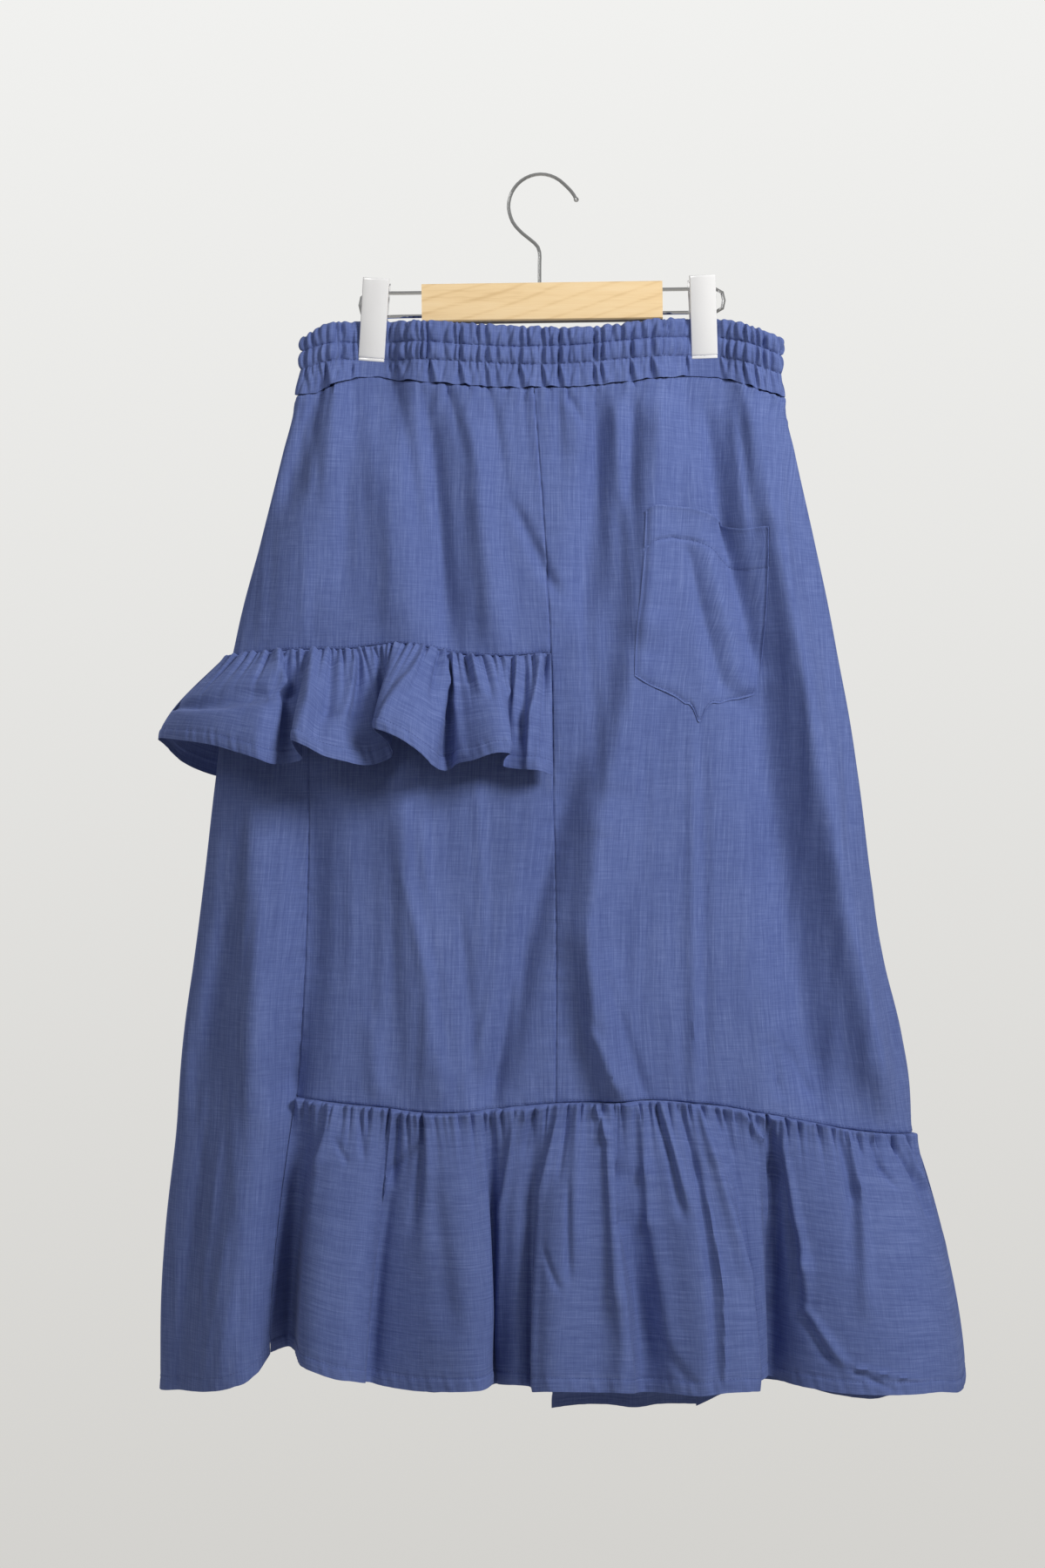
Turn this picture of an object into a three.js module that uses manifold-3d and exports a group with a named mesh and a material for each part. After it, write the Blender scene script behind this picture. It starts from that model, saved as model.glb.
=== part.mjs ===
// An asymmetrical midi skirt in cotton chambray, hung by its waistband from a wooden clip hanger.
// It has a three-channel elastic waistband, a full-length plain panel at the left side, a short ruffle
// let into the left half at the hip, a deep gathered ruffle along the right of the hem, and a patch
// pocket on the right front. The hanger is a wooden bar with a wire hook, two wire loops and two clips.
// Millimetres. +Z is up, +X is to the right and -Y is towards whoever looks at the front of the skirt.
// The origin lies under the crown of the hook, where a rail carries the hanger.
import * as THREE from "three";
import { mergeVertices } from "three/addons/utils/BufferGeometryUtils.js";
import Module from "manifold-3d";

const wasm = await Module();
wasm.setup();

// Cloth
const CLOTH = 1.2; // wall of the modelled cloth
const SEAM_GAP = 0.3; // clearance between two sewn pieces
const HELD_Y = 1.8; // the two layers of waistband lie this far either side of the jaws' plane

// Clips, at the height where their jaws grip the waistband. Lean is in degrees, top towards the left.
const CLIPS = [
  { name: "clip_left", x: -136, raise: -1, lean: -4 },
  { name: "clip_right", x: 131.6, raise: 1.2, lean: 2.3 },
];
const CLIP_WIDTH = 21;
const CLIP_TOP = -83;
const CLIP_FOOT = -146;

// Small tools for numbers and tables
const mix = (a, b, k) => a + (b - a) * k;
const clamp = (x, low, high) => Math.min(high, Math.max(low, x));
function smooth(low, high, x) {
  const k = clamp((x - low) / (high - low), 0, 1);
  return k * k * (3 - 2 * k);
}

// A smooth curve of one column of a table against another, level past the table's two ends.
function curve(table, key, value) {
  const rows = [...table].sort((a, b) => a[key] - b[key]);
  const x = rows.map((row) => row[key]);
  const y = rows.map((row) => row[value]);
  const last = x.length - 1;
  const step = (i) => (y[i + 1] - y[i]) / (x[i + 1] - x[i]);
  const slope = x.map((_, i) => {
    if (i === 0 || i === last) return step(i === 0 ? 0 : last - 1);
    const share = (x[i] - x[i - 1]) / (x[i + 1] - x[i - 1]);
    return mix(step(i - 1), step(i), share);
  });
  return (at) => {
    const place = clamp(at, x[0], x[last]);
    let i = 0;
    while (i < last - 1 && place > x[i + 1]) i += 1;
    const width = x[i + 1] - x[i];
    const k = (place - x[i]) / width;
    const a = y[i] + k * width * slope[i];
    const b = y[i + 1] - (1 - k) * width * slope[i + 1];
    return mix(a, b, k * k * (3 - 2 * k));
  };
}

// The skirt as a flattened tube: where its two side edges hang, and how far the cloth stands out in
// front of the hanger's plane and behind it.
const OUTLINE = [
  { z: -112, left: -190, right: 195, front: 16, back: 10 },
  { z: -173, left: -195, right: 194, front: 18, back: 12 },
  { z: -222, left: -207, right: 204, front: 23, back: 14 },
  { z: -294, left: -225, right: 220, front: 30, back: 18 },
  { z: -388, left: -248, right: 239, front: 37, back: 22 },
  { z: -482, left: -261, right: 255, front: 43, back: 26 },
  { z: -569, left: -271, right: 266, front: 47, back: 28 },
  { z: -632, left: -279, right: 276, front: 50, back: 31 },
  { z: -690, left: -287, right: 290, front: 52, back: 34 },
  { z: -768, left: -293, right: 298, front: 54, back: 37 },
  { z: -850, left: -302, right: 301, front: 56, back: 39 },
  { z: -975, left: -306, right: 303, front: 58, back: 41 },
];
const outlineLeft = curve(OUTLINE, "z", "left");
const outlineRight = curve(OUTLINE, "z", "right");
const outlineFront = curve(OUTLINE, "z", "front");
const outlineBack = curve(OUTLINE, "z", "back");

// Folds of the front. Each runs from a top point to a foot; reach is its half width and lift is how
// far it stands out of the cloth, so a trough has a negative lift.
const FRONT_FOLDS = [
  { x1: -172, z1: -160, x2: -203, z2: -262, reach1: 8, reach2: 12, lift1: -5, lift2: -4 },
  { x1: -157, z1: -160, x2: -199, z2: -360, reach1: 20, reach2: 26, lift1: 4, lift2: 4 },
  { x1: -136, z1: -160, x2: -92, z2: -376, reach1: 9, reach2: 13, lift1: 5, lift2: 5 },
  { x1: -102, z1: -160, x2: -69, z2: -376, reach1: 8, reach2: 11, lift1: 4, lift2: 5 },
  { x1: -89, z1: -165, x2: -57, z2: -345, reach1: 10, reach2: 15, lift1: -6, lift2: -7 },
  { x1: -62, z1: -185, x2: -28, z2: -340, reach1: 12, reach2: 14, lift1: 4, lift2: 4 },
  { x1: 48, z1: -165, x2: 60, z2: -420, reach1: 16, reach2: 22, lift1: -7, lift2: -7 },
  { x1: 106, z1: -160, x2: 110, z2: -390, reach1: 15, reach2: 24, lift1: 6, lift2: 7 },
  { x1: 145, z1: -160, x2: 158, z2: -280, reach1: 10, reach2: 12, lift1: -5, lift2: -3 },
  { x1: 181, z1: -175, x2: 208, z2: -390, reach1: 8, reach2: 11, lift1: -4, lift2: -6 },
  { x1: 190, z1: -190, x2: 250, z2: -560, reach1: 8, reach2: 11, lift1: 3, lift2: 5 },
  { x1: 128, z1: -300, x2: 153, z2: -410, reach1: 11, reach2: 13, lift1: -5, lift2: -4 },
  { x1: -226, z1: -590, x2: -268, z2: -745, reach1: 10, reach2: 13, lift1: -4, lift2: -4 },
  { x1: -170, z1: -470, x2: -141, z2: -700, reach1: 24, reach2: 28, lift1: -6, lift2: -6 },
  { x1: -118, z1: -470, x2: -54, z2: -735, reach1: 15, reach2: 19, lift1: 6, lift2: 8 },
  { x1: 5, z1: -580, x2: -36, z2: -745, reach1: 11, reach2: 13, lift1: -8, lift2: -10 },
  { x1: 38, z1: -440, x2: 23, z2: -600, reach1: 18, reach2: 18, lift1: -5, lift2: -5 },
  { x1: 136, z1: -460, x2: 135, z2: -745, reach1: 20, reach2: 13, lift1: 6, lift2: 7 },
  { x1: 232, z1: -480, x2: 292, z2: -760, reach1: 10, reach2: 12, lift1: -5, lift2: -5 },
  { x1: -214, z1: -600, x2: -250, z2: -985, reach1: 22, reach2: 27, lift1: 4, lift2: 27 },
  { x1: -194, z1: -690, x2: -209, z2: -985, reach1: 9, reach2: 13, lift1: -4, lift2: -24 },
];
// Folds of the back, which hangs plainer, with its lift away from the front.
const BACK_FOLDS = [
  { x1: -150, z1: -160, x2: -190, z2: -400, reach1: 14, reach2: 20, lift1: 3, lift2: 5 },
  { x1: -70, z1: -160, x2: -86, z2: -380, reach1: 12, reach2: 20, lift1: -4, lift2: -4 },
  { x1: 30, z1: -160, x2: 40, z2: -520, reach1: 14, reach2: 22, lift1: 4, lift2: 6 },
  { x1: 100, z1: -165, x2: 118, z2: -600, reach1: 12, reach2: 20, lift1: -4, lift2: -6 },
  { x1: 165, z1: -170, x2: 215, z2: -700, reach1: 12, reach2: 22, lift1: 4, lift2: 7 },
  { x1: -200, z1: -470, x2: -225, z2: -985, reach1: 22, reach2: 30, lift1: 5, lift2: 12 },
  { x1: -130, z1: -480, x2: -140, z2: -985, reach1: 18, reach2: 26, lift1: -5, lift2: -12 },
  { x1: -60, z1: -500, x2: -62, z2: -985, reach1: 22, reach2: 30, lift1: 5, lift2: 11 },
];
const FOLD_FADE = 0.18; // a fold dies out over this share of its length, past each end

function foldLift(folds, x, z) {
  let lift = 0;
  for (const fold of folds) {
    const down = (fold.z1 - z) / (fold.z1 - fold.z2);
    const fade = smooth(-FOLD_FADE, FOLD_FADE, down) * (1 - smooth(1 - FOLD_FADE, 1 + FOLD_FADE, down));
    const inside = clamp(down, 0, 1);
    const off = (x - mix(fold.x1, fold.x2, down)) / mix(fold.reach1, fold.reach2, inside);
    lift += fade * mix(fold.lift1, fold.lift2, inside) * Math.exp(-off * off);
  }
  return lift;
}

// How firmly a clip pinches the cloth at a place: 1 in its jaws, 0 away from them.
const PINCH_HALF_WIDTH = 14;
const PINCH_FADE = 24;
function pinch(x, z) {
  const aside = Math.min(...CLIPS.map((clip) => Math.abs(x - clip.x)));
  return (
    (1 - smooth(PINCH_HALF_WIDTH, PINCH_HALF_WIDTH + PINCH_FADE, aside)) *
    smooth(CLIP_FOOT - 105, CLIP_FOOT - 4, z)
  );
}

// A point of the skirt's outer surface. Round goes from the left edge (0) across the front to the
// right edge (1) and behind to the left edge again (2); a negative round counts back from the left.
const CROWD = 0.2; // moves the columns from the side edges towards the middle
const turnOf = (across) => Math.PI * across + CROWD * Math.sin(2 * Math.PI * across);
function skirtPoint(round, z) {
  const lap = ((round % 2) + 2) % 2;
  const isFront = lap <= 1;
  const turn = turnOf(isFront ? lap : 2 - lap);
  const left = outlineLeft(z);
  const right = outlineRight(z);
  const x = mix(left, right, (1 - Math.cos(turn)) / 2);
  const roundness = Math.sin(turn);
  const folds = foldLift(isFront ? FRONT_FOLDS : BACK_FOLDS, x, z) * smooth(0, 0.45, roundness);
  const stand = (isFront ? outlineFront(z) : outlineBack(z)) * roundness + folds;
  const depth = mix(stand, Math.min(stand, HELD_Y), pinch(x, z));
  return new THREE.Vector3(x, isFront ? -depth : depth, z);
}

// The outward normal of a surface given as a function of two parameters. The skirt's is kept level, so
// that both faces of its cloth end at the same height.
function normalOf(surface, a, b, stepA, stepB) {
  const alongA = surface(a + stepA, b).sub(surface(a - stepA, b));
  const alongB = surface(a, b + stepB).sub(surface(a, b - stepB));
  return alongA.cross(alongB).normalize();
}
const SIDE_EDGE = 0.003; // within this share of a side edge the cloth faces straight out sideways
function skirtNormal(round, z) {
  const normal = normalOf(skirtPoint, round, z, 0.004, 1.5).setZ(0).normalize();
  return Math.abs(round - Math.round(round)) < SIDE_EDGE ? normal.setY(0).normalize() : normal;
}

// A seam's half gap at a place, as a share of the way round towards the given side.
function halfGap(round, z, towards) {
  const step = 0.002 * towards;
  return ((SEAM_GAP / 2) * step) / skirtPoint(round, z).distanceTo(skirtPoint(round + step, z));
}

// Where round has to be for the front, or the back, to pass through a given x.
function roundAt(x, z, isFront = true) {
  const left = outlineLeft(z);
  const right = outlineRight(z);
  const wanted = Math.acos(clamp(1 - (2 * (x - left)) / (right - left), -1, 1));
  let across = wanted / Math.PI;
  for (let i = 0; i < 8; i += 1) {
    const slope = Math.PI + CROWD * 2 * Math.PI * Math.cos(2 * Math.PI * across);
    across = clamp(across - (turnOf(across) - wanted) / slope, 0, 1);
  }
  return isFront ? across : 2 - across;
}

// Solids from grids of points: outer[i][j] and inner[i][j], with i along the cloth and j down it.
function wall(outer, inner) {
  const columns = outer.length - 1;
  const rows = outer[0].length - 1;
  const across = rows + 1;
  const layer = (columns + 1) * across;
  const position = [...outer.flat(), ...inner.flat()].flatMap((p) => [p.x, p.y, p.z]);
  const index = [];
  const quad = (a, b, c, d) => index.push(a, b, c, a, c, d);
  for (let i = 0; i < columns; i += 1)
    for (let j = 0; j < rows; j += 1) {
      const at = i * across + j;
      quad(at, at + across, at + across + 1, at + 1);
      quad(layer + at, layer + at + 1, layer + at + across + 1, layer + at + across);
    }
  for (let i = 0; i < columns; i += 1) {
    const top = i * across;
    const foot = top + rows;
    quad(top, layer + top, layer + top + across, top + across);
    quad(foot, foot + across, layer + foot + across, layer + foot);
  }
  for (let j = 0; j < rows; j += 1) {
    const end = columns * across + j;
    quad(j, j + 1, layer + j + 1, layer + j);
    quad(end, layer + end, layer + end + 1, end + 1);
  }
  // Each face turns the other way round from the order above, so that it points out of the cloth.
  for (let k = 0; k < index.length; k += 3) [index[k + 1], index[k + 2]] = [index[k + 2], index[k + 1]];
  return new THREE.BufferGeometry()
    .setAttribute("position", new THREE.Float32BufferAttribute(position, 3))
    .setIndex(index);
}

const grid = (columns, rows, point) =>
  Array.from({ length: columns + 1 }, (_, i) =>
    Array.from({ length: rows + 1 }, (__, j) => point(i / columns, j / rows)),
  );

// Materials, one for each finish
const finish = (color, roughness, metalness) =>
  new THREE.MeshStandardMaterial({ color, roughness, metalness, side: THREE.DoubleSide });
const chambray = finish(0x4e60a0, 0.85, 0);
const maple = finish(0xe6c48c, 0.55, 0);
const chrome = finish(0xd8dadc, 0.15, 1);
const steel = finish(0xe4e5e6, 0.3, 0.9);

const part = new THREE.Group();
function add(name, geometry, material, parent = part) {
  const mesh = new THREE.Mesh(geometry, material);
  mesh.name = name;
  parent.add(mesh);
  return mesh;
}

// The waistband's four lines of stitching, from its top edge down to the seam with the skirt. The
// clips hold it up at their two places, so it sags between them and droops past them.
const WAIST_LINES = [
  { x: -190, top: -129, first: -141, second: -155.5, seam: -175.5 },
  { x: -171, top: -119.5, first: -136, second: -150, seam: -170 },
  { x: -150, top: -117.5, first: -134.5, second: -148, seam: -162.5 },
  { x: -110, top: -117.5, first: -134.5, second: -149, seam: -165 },
  { x: -51, top: -121, first: -138.5, second: -152, seam: -170.5 },
  { x: 0, top: -123.5, first: -139.5, second: -154, seam: -171.5 },
  { x: 59, top: -121.5, first: -135.5, second: -150, seam: -168 },
  { x: 96, top: -116.5, first: -132, second: -147, seam: -163.5 },
  { x: 133, top: -115.5, first: -130, second: -145, seam: -161 },
  { x: 155, top: -117, first: -132.5, second: -148, seam: -164.5 },
  { x: 171, top: -122, first: -137, second: -153, seam: -170.5 },
  { x: 193, top: -130, first: -144.5, second: -159.5, seam: -176.5 },
];
const waistLine = ["top", "first", "second", "seam"].map((name) => curve(WAIST_LINES, "x", name));
const waistSeam = waistLine[3];
const CHANNELS = 3;
const PUFF = 2.2; // a channel's cloth stands this far out over its elastic
const GATHER_LIFT = 1.1;
const GATHER_PITCH = 15;

// A point of the waistband, down from its top edge (0) to its seam (1), and the plain cloth under it.
function waistPoint(round, down, isPuffed) {
  const channel = Math.min(CHANNELS - 1, Math.floor(down * CHANNELS));
  const inChannel = down * CHANNELS - channel;
  let z = CLIP_FOOT;
  for (let i = 0; i < 4; i += 1) {
    const { x } = skirtPoint(round, z);
    z = mix(waistLine[channel](x), waistLine[channel + 1](x), inChannel);
  }
  const point = skirtPoint(round, z);
  if (!isPuffed) return point;
  const free = 1 - pinch(point.x, CLIP_FOOT);
  const phase = (2 * Math.PI * point.x) / GATHER_PITCH + channel * 1.3 + 1.7 * Math.sin(point.x / 31);
  const swell = Math.sin(Math.PI * inChannel);
  const lift = free * (PUFF * swell + GATHER_LIFT * Math.sin(phase) * (0.35 + 0.65 * swell));
  return point.addScaledVector(skirtNormal(round, z), lift);
}

function waistbandHalf(name, start, end, columns) {
  const rows = CHANNELS * 2;
  const place = (a) => mix(start + halfGap(start, CLIP_FOOT, 1), end + halfGap(end, CLIP_FOOT, -1), a);
  const outer = grid(columns, rows, (a, b) => waistPoint(place(a), Math.min(b, 0.9999), true));
  const inner = grid(columns, rows, (a, b) => {
    const point = waistPoint(place(a), Math.min(b, 0.9999), false);
    return point.addScaledVector(skirtNormal(place(a), point.z), -CLOTH);
  });
  for (const layer of [outer, inner]) for (const column of layer) column[rows].z += SEAM_GAP;
  return add(name, wall(outer, inner), chambray);
}
waistbandHalf("waistband_front", 0, 1, 78);
waistbandHalf("waistband_back", 1, 2, 46);

// Seams of the skirt below the waistband
const CENTRE_FRONT = curve(
  [
    { z: -160, x: -6 },
    { z: -208, x: -3 },
    { z: -278, x: 2 },
    { z: -348, x: 6 },
    { z: -480, x: 9.5 },
    { z: -560, x: 11 },
    { z: -780, x: 11 },
  ],
  "z",
  "x",
);
const CENTRE_BACK_X = 8;
const HIP_SEAM = curve(
  [
    { x: -248, z: -387 },
    { x: -208, z: -382 },
    { x: -159, z: -379 },
    { x: -94, z: -377 },
    { x: -66, z: -384.5 },
    { x: 8, z: -384 },
  ],
  "x",
  "z",
);
const HEM_SEAM = curve(
  [
    { x: -194, z: -736 },
    { x: -127, z: -742 },
    { x: -71, z: -746 },
    { x: -20, z: -741 },
    { x: 55, z: -737.5 },
    { x: 122, z: -739 },
    { x: 171, z: -747 },
    { x: 216, z: -756 },
    { x: 258, z: -764 },
    { x: 298, z: -768.5 },
  ],
  "x",
  "z",
);
const HEM_SEAM_BACK = curve(
  [
    { x: 8, z: -760 },
    { x: 160, z: -762 },
    { x: 298, z: -768.5 },
  ],
  "x",
  "z",
);
const SIDE_HEM = curve(
  [
    { x: -306, z: -974 },
    { x: -280, z: -969 },
    { x: -257, z: -965 },
    { x: -240, z: -960 },
    { x: -227, z: -954 },
    { x: -219, z: -946 },
    { x: -214, z: -938 },
  ],
  "x",
  "z",
);
const BACK_HEM = curve(
  [
    { x: -306, z: -974 },
    { x: -280, z: -962 },
    { x: -240, z: -950 },
    { x: -200, z: -946 },
    { x: -170, z: -950 },
    { x: -130, z: -966 },
    { x: -93, z: -987 },
    { x: -45, z: -975 },
    { x: 8, z: -984 },
  ],
  "x",
  "z",
);
const HIP_BACK_Z = -388;

// The seam between the plain side panel and its neighbours: the middle panel, then the hem ruffle.
const SIDE_SEAM_TOP = curve(
  [
    { z: -375, x: -182 },
    { z: -478, x: -184.5 },
    { z: -570, x: -185.5 },
    { z: -657, x: -188.5 },
    { z: -736, x: -194 },
  ],
  "z",
  "x",
);
const RUFFLE_EASE = 1.6; // a gathered ruffle flares fast under its seam and hangs straight at its hem
const flare = (down) => 1 - (1 - clamp(down, 0, 1)) ** RUFFLE_EASE;
const SIDE_SEAM_FOOT = { x: -214, z: -938 };
function sideSeamX(z) {
  const top = HEM_SEAM(-194);
  if (z >= top) return SIDE_SEAM_TOP(z);
  return mix(-194, SIDE_SEAM_FOOT.x, flare((top - z) / (top - SIDE_SEAM_FOOT.z)));
}

// A panel of the skirt between two seams that run down it and two edges that run across it.
function panelGrid({ from, to, top, foot, columns, rows }) {
  const place = (a, b) => {
    let z = mix(top(0), foot(0), b);
    let round = 0;
    for (let i = 0; i < 6; i += 1) {
      const start = from(z) + halfGap(from(z), z, 1);
      const end = to(z) + halfGap(to(z), z, -1);
      round = mix(start, end, a);
      const x = skirtPoint(round, z).x;
      z = mix(top(x) - SEAM_GAP / 2, foot(x) + SEAM_GAP / 2, b);
    }
    return { round, z };
  };
  return grid(columns, rows, (a, b) => {
    const { round, z } = place(a, b);
    return { point: skirtPoint(round, z), normal: skirtNormal(round, z) };
  });
}

const layerOf = (cells, offset) =>
  cells.map((column) => column.map((cell) => cell.point.clone().addScaledVector(cell.normal, offset)));

function panel(name, shape) {
  const cells = panelGrid(shape);
  add(name, wall(layerOf(cells, 0), layerOf(cells, -CLOTH)), chambray);
  return cells;
}

const at = (x, isFront = true) => (z) => roundAt(typeof x === "function" ? x(z) : x, z, isFront);
const level = (z) => () => z;

panel("front_left_yoke", {
  from: () => 0,
  to: at(CENTRE_FRONT),
  top: waistSeam,
  foot: HIP_SEAM,
  columns: 26,
  rows: 7,
});
panel("front_side_panel", {
  from: () => 0,
  to: at(sideSeamX),
  top: HIP_SEAM,
  foot: SIDE_HEM,
  columns: 14,
  rows: 12,
});
panel("front_middle_panel", {
  from: at(SIDE_SEAM_TOP),
  to: at(CENTRE_FRONT),
  top: HIP_SEAM,
  foot: HEM_SEAM,
  columns: 18,
  rows: 8,
});
const frontRight = panel("front_right_panel", {
  from: at(CENTRE_FRONT),
  to: () => 1,
  top: waistSeam,
  foot: HEM_SEAM,
  columns: 25,
  rows: 13,
});
panel("back_right_panel", {
  from: () => 1,
  to: at(CENTRE_BACK_X, false),
  top: waistSeam,
  foot: HEM_SEAM_BACK,
  columns: 15,
  rows: 9,
});
panel("back_left_yoke", {
  from: at(CENTRE_BACK_X, false),
  to: () => 2,
  top: waistSeam,
  foot: level(HIP_BACK_Z),
  columns: 20,
  rows: 4,
});
panel("back_left_panel", {
  from: at(CENTRE_BACK_X, false),
  to: () => 2,
  top: level(HIP_BACK_Z),
  foot: BACK_HEM,
  columns: 16,
  rows: 8,
});

// A ruffle's rows, one for each crest, hollow or turn of its folds: seam is the x where the row leaves
// the skirt, on the front or the back, and x, y, z is the place of its hem.
const HEM_RUFFLE_FRONT = [
  { seam: -194, x: -213, y: -28, z: -938 },
  { seam: -186, x: -202, y: -26, z: -939 },
  { seam: -179, x: -193, y: -37, z: -941 },
  { seam: -172, x: -190, y: -56, z: -941 },
  { seam: -161, x: -181, y: -72, z: -942 },
  { seam: -146, x: -161, y: -78, z: -948 },
  { seam: -131, x: -146, y: -74, z: -951 },
  { seam: -122, x: -139, y: -62, z: -955 },
  { seam: -117, x: -136, y: -46, z: -960 },
  { seam: -110, x: -121, y: -42, z: -963 },
  { seam: -101, x: -100, y: -50, z: -964 },
  { seam: -90, x: -79, y: -62, z: -962 },
  { seam: -74, x: -59, y: -70, z: -960 },
  { seam: -60, x: -45, y: -68, z: -959 },
  { seam: -51, x: -38, y: -56, z: -957 },
  { seam: -46, x: -40, y: -36, z: -963 },
  { seam: -40, x: -36, y: -22, z: -965 },
  { seam: -33, x: -31, y: -34, z: -963 },
  { seam: -22, x: -20, y: -44, z: -961 },
  { seam: -12, x: -13, y: -42, z: -962 },
  { seam: -4, x: -8, y: -38, z: -964 },
  { seam: 4, x: -7, y: -52, z: -963 },
  { seam: 13, x: -5, y: -70, z: -960 },
  { seam: 27, x: 10, y: -82, z: -957 },
  { seam: 47, x: 46, y: -80, z: -958 },
  { seam: 56, x: 63, y: -86, z: -957 },
  { seam: 63, x: 73, y: -76, z: -960 },
  { seam: 74, x: 88, y: -66, z: -963 },
  { seam: 87, x: 105, y: -72, z: -962 },
  { seam: 101, x: 123, y: -82, z: -960 },
  { seam: 116, x: 143, y: -86, z: -957 },
  { seam: 128, x: 161, y: -82, z: -957 },
  { seam: 135, x: 168, y: -70, z: -959 },
  { seam: 142, x: 167, y: -56, z: -958 },
  { seam: 152, x: 172, y: -54, z: -955 },
  { seam: 166, x: 178, y: -50, z: -953 },
  { seam: 174, x: 177, y: -30, z: -958 },
  { seam: 182, x: 184, y: -18, z: -962 },
  { seam: 190, x: 197, y: -30, z: -963 },
  { seam: 200, x: 212, y: -46, z: -963 },
  { seam: 217, x: 236, y: -58, z: -964 },
  { seam: 238, x: 263, y: -64, z: -964 },
  { seam: 260, x: 290, y: -62, z: -964 },
  { seam: 278, x: 312, y: -50, z: -965 },
  { seam: 290, x: 330, y: -30, z: -970 },
  { seam: 296, x: 338, y: -12, z: -969 },
  { seam: 298, x: 341, y: 0, z: -962 },
];
const HEM_RUFFLE_BACK = [
  { seam: 295, x: 337, y: 16, z: -970 },
  { seam: 280, x: 320, y: 38, z: -984 },
  { seam: 262, x: 292, y: 50, z: -991 },
  { seam: 244, x: 270, y: 34, z: -991 },
  { seam: 224, x: 240, y: 56, z: -992 },
  { seam: 204, x: 214, y: 38, z: -981 },
  { seam: 182, x: 184, y: 60, z: -981 },
  { seam: 160, x: 158, y: 40, z: -984 },
  { seam: 142, x: 130, y: 46, z: -999 },
  { seam: 126, x: 128, y: 62, z: -1002 },
  { seam: 104, x: 100, y: 66, z: -1003 },
  { seam: 82, x: 78, y: 50, z: -1002 },
  { seam: 60, x: 56, y: 64, z: -1003 },
  { seam: 36, x: 34, y: 60, z: -1002 },
  { seam: 20, x: 16, y: 48, z: -1001 },
  { seam: 9.5, x: 9.5, y: 40, z: -1000 },
];
const HIP_RUFFLE_BACK = [
  { seam: 7, x: 8, y: 36, z: -478 },
  { seam: -18, x: -20, y: 52, z: -480 },
  { seam: -45, x: -42, y: 38, z: -480 },
  { seam: -72, x: -76, y: 56, z: -481 },
  { seam: -100, x: -98, y: 40, z: -480 },
  { seam: -128, x: -134, y: 58, z: -482 },
  { seam: -155, x: -156, y: 40, z: -482 },
  { seam: -180, x: -192, y: 60, z: -483 },
  { seam: -205, x: -222, y: 46, z: -484 },
  { seam: -225, x: -255, y: 52, z: -484 },
  { seam: -238, x: -276, y: 46, z: -479 },
  { seam: -245, x: -293, y: 32, z: -470 },
  { seam: -247.5, x: -303, y: 14, z: -458 },
];
const HIP_RUFFLE_FRONT = [
  { seam: -248, x: -306, y: -6, z: -452 },
  { seam: -236, x: -284, y: -40, z: -454 },
  { seam: -224, x: -257, y: -64, z: -458 },
  { seam: -213, x: -235, y: -78, z: -464 },
  { seam: -207, x: -219, y: -86, z: -469 },
  { seam: -202, x: -211, y: -78, z: -473 },
  { seam: -198, x: -206, y: -64, z: -473 },
  { seam: -193, x: -195, y: -56, z: -472 },
  { seam: -187, x: -187, y: -60, z: -469 },
  { seam: -183, x: -191, y: -73, z: -461 },
  { seam: -179, x: -192, y: -86, z: -455 },
  { seam: -173, x: -182, y: -92, z: -459 },
  { seam: -165, x: -167, y: -90, z: -467 },
  { seam: -156, x: -152, y: -84, z: -471 },
  { seam: -148, x: -136, y: -78, z: -474 },
  { seam: -140, x: -124, y: -70, z: -472 },
  { seam: -132, x: -116, y: -62, z: -466 },
  { seam: -122, x: -119, y: -68, z: -456 },
  { seam: -111, x: -130, y: -82, z: -446 },
  { seam: -100, x: -124, y: -94, z: -447 },
  { seam: -91, x: -108, y: -98, z: -454 },
  { seam: -84, x: -94, y: -94, z: -464 },
  { seam: -79, x: -85, y: -84, z: -474 },
  { seam: -75, x: -77, y: -68, z: -478 },
  { seam: -72, x: -71, y: -60, z: -477 },
  { seam: -69, x: -65, y: -68, z: -473 },
  { seam: -61, x: -52, y: -82, z: -470 },
  { seam: -50, x: -37, y: -90, z: -465 },
  { seam: -38, x: -27, y: -88, z: -465 },
  { seam: -32, x: -29, y: -72, z: -470 },
  { seam: -27, x: -29, y: -60, z: -475 },
  { seam: -18, x: -16, y: -62, z: -477 },
  { seam: -4, x: -2, y: -66, z: -478 },
  { seam: 7.5, x: 8.5, y: -54, z: -482 },
];

// A smooth curve through a list of numbers, at a place counted in rows.
function through(values, place) {
  const last = values.length - 1;
  const i = clamp(Math.floor(place), 0, last - 1);
  const k = place - i;
  const [a, b, c, d] = [i - 1, i, i + 1, i + 2].map((n) => values[clamp(n, 0, last)]);
  const bend = (2 * a - 5 * b + 4 * c - d) * k * k + (3 * b - a - 3 * c + d) * k * k * k;
  return b + ((c - a) * k + bend) / 2;
}

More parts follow.
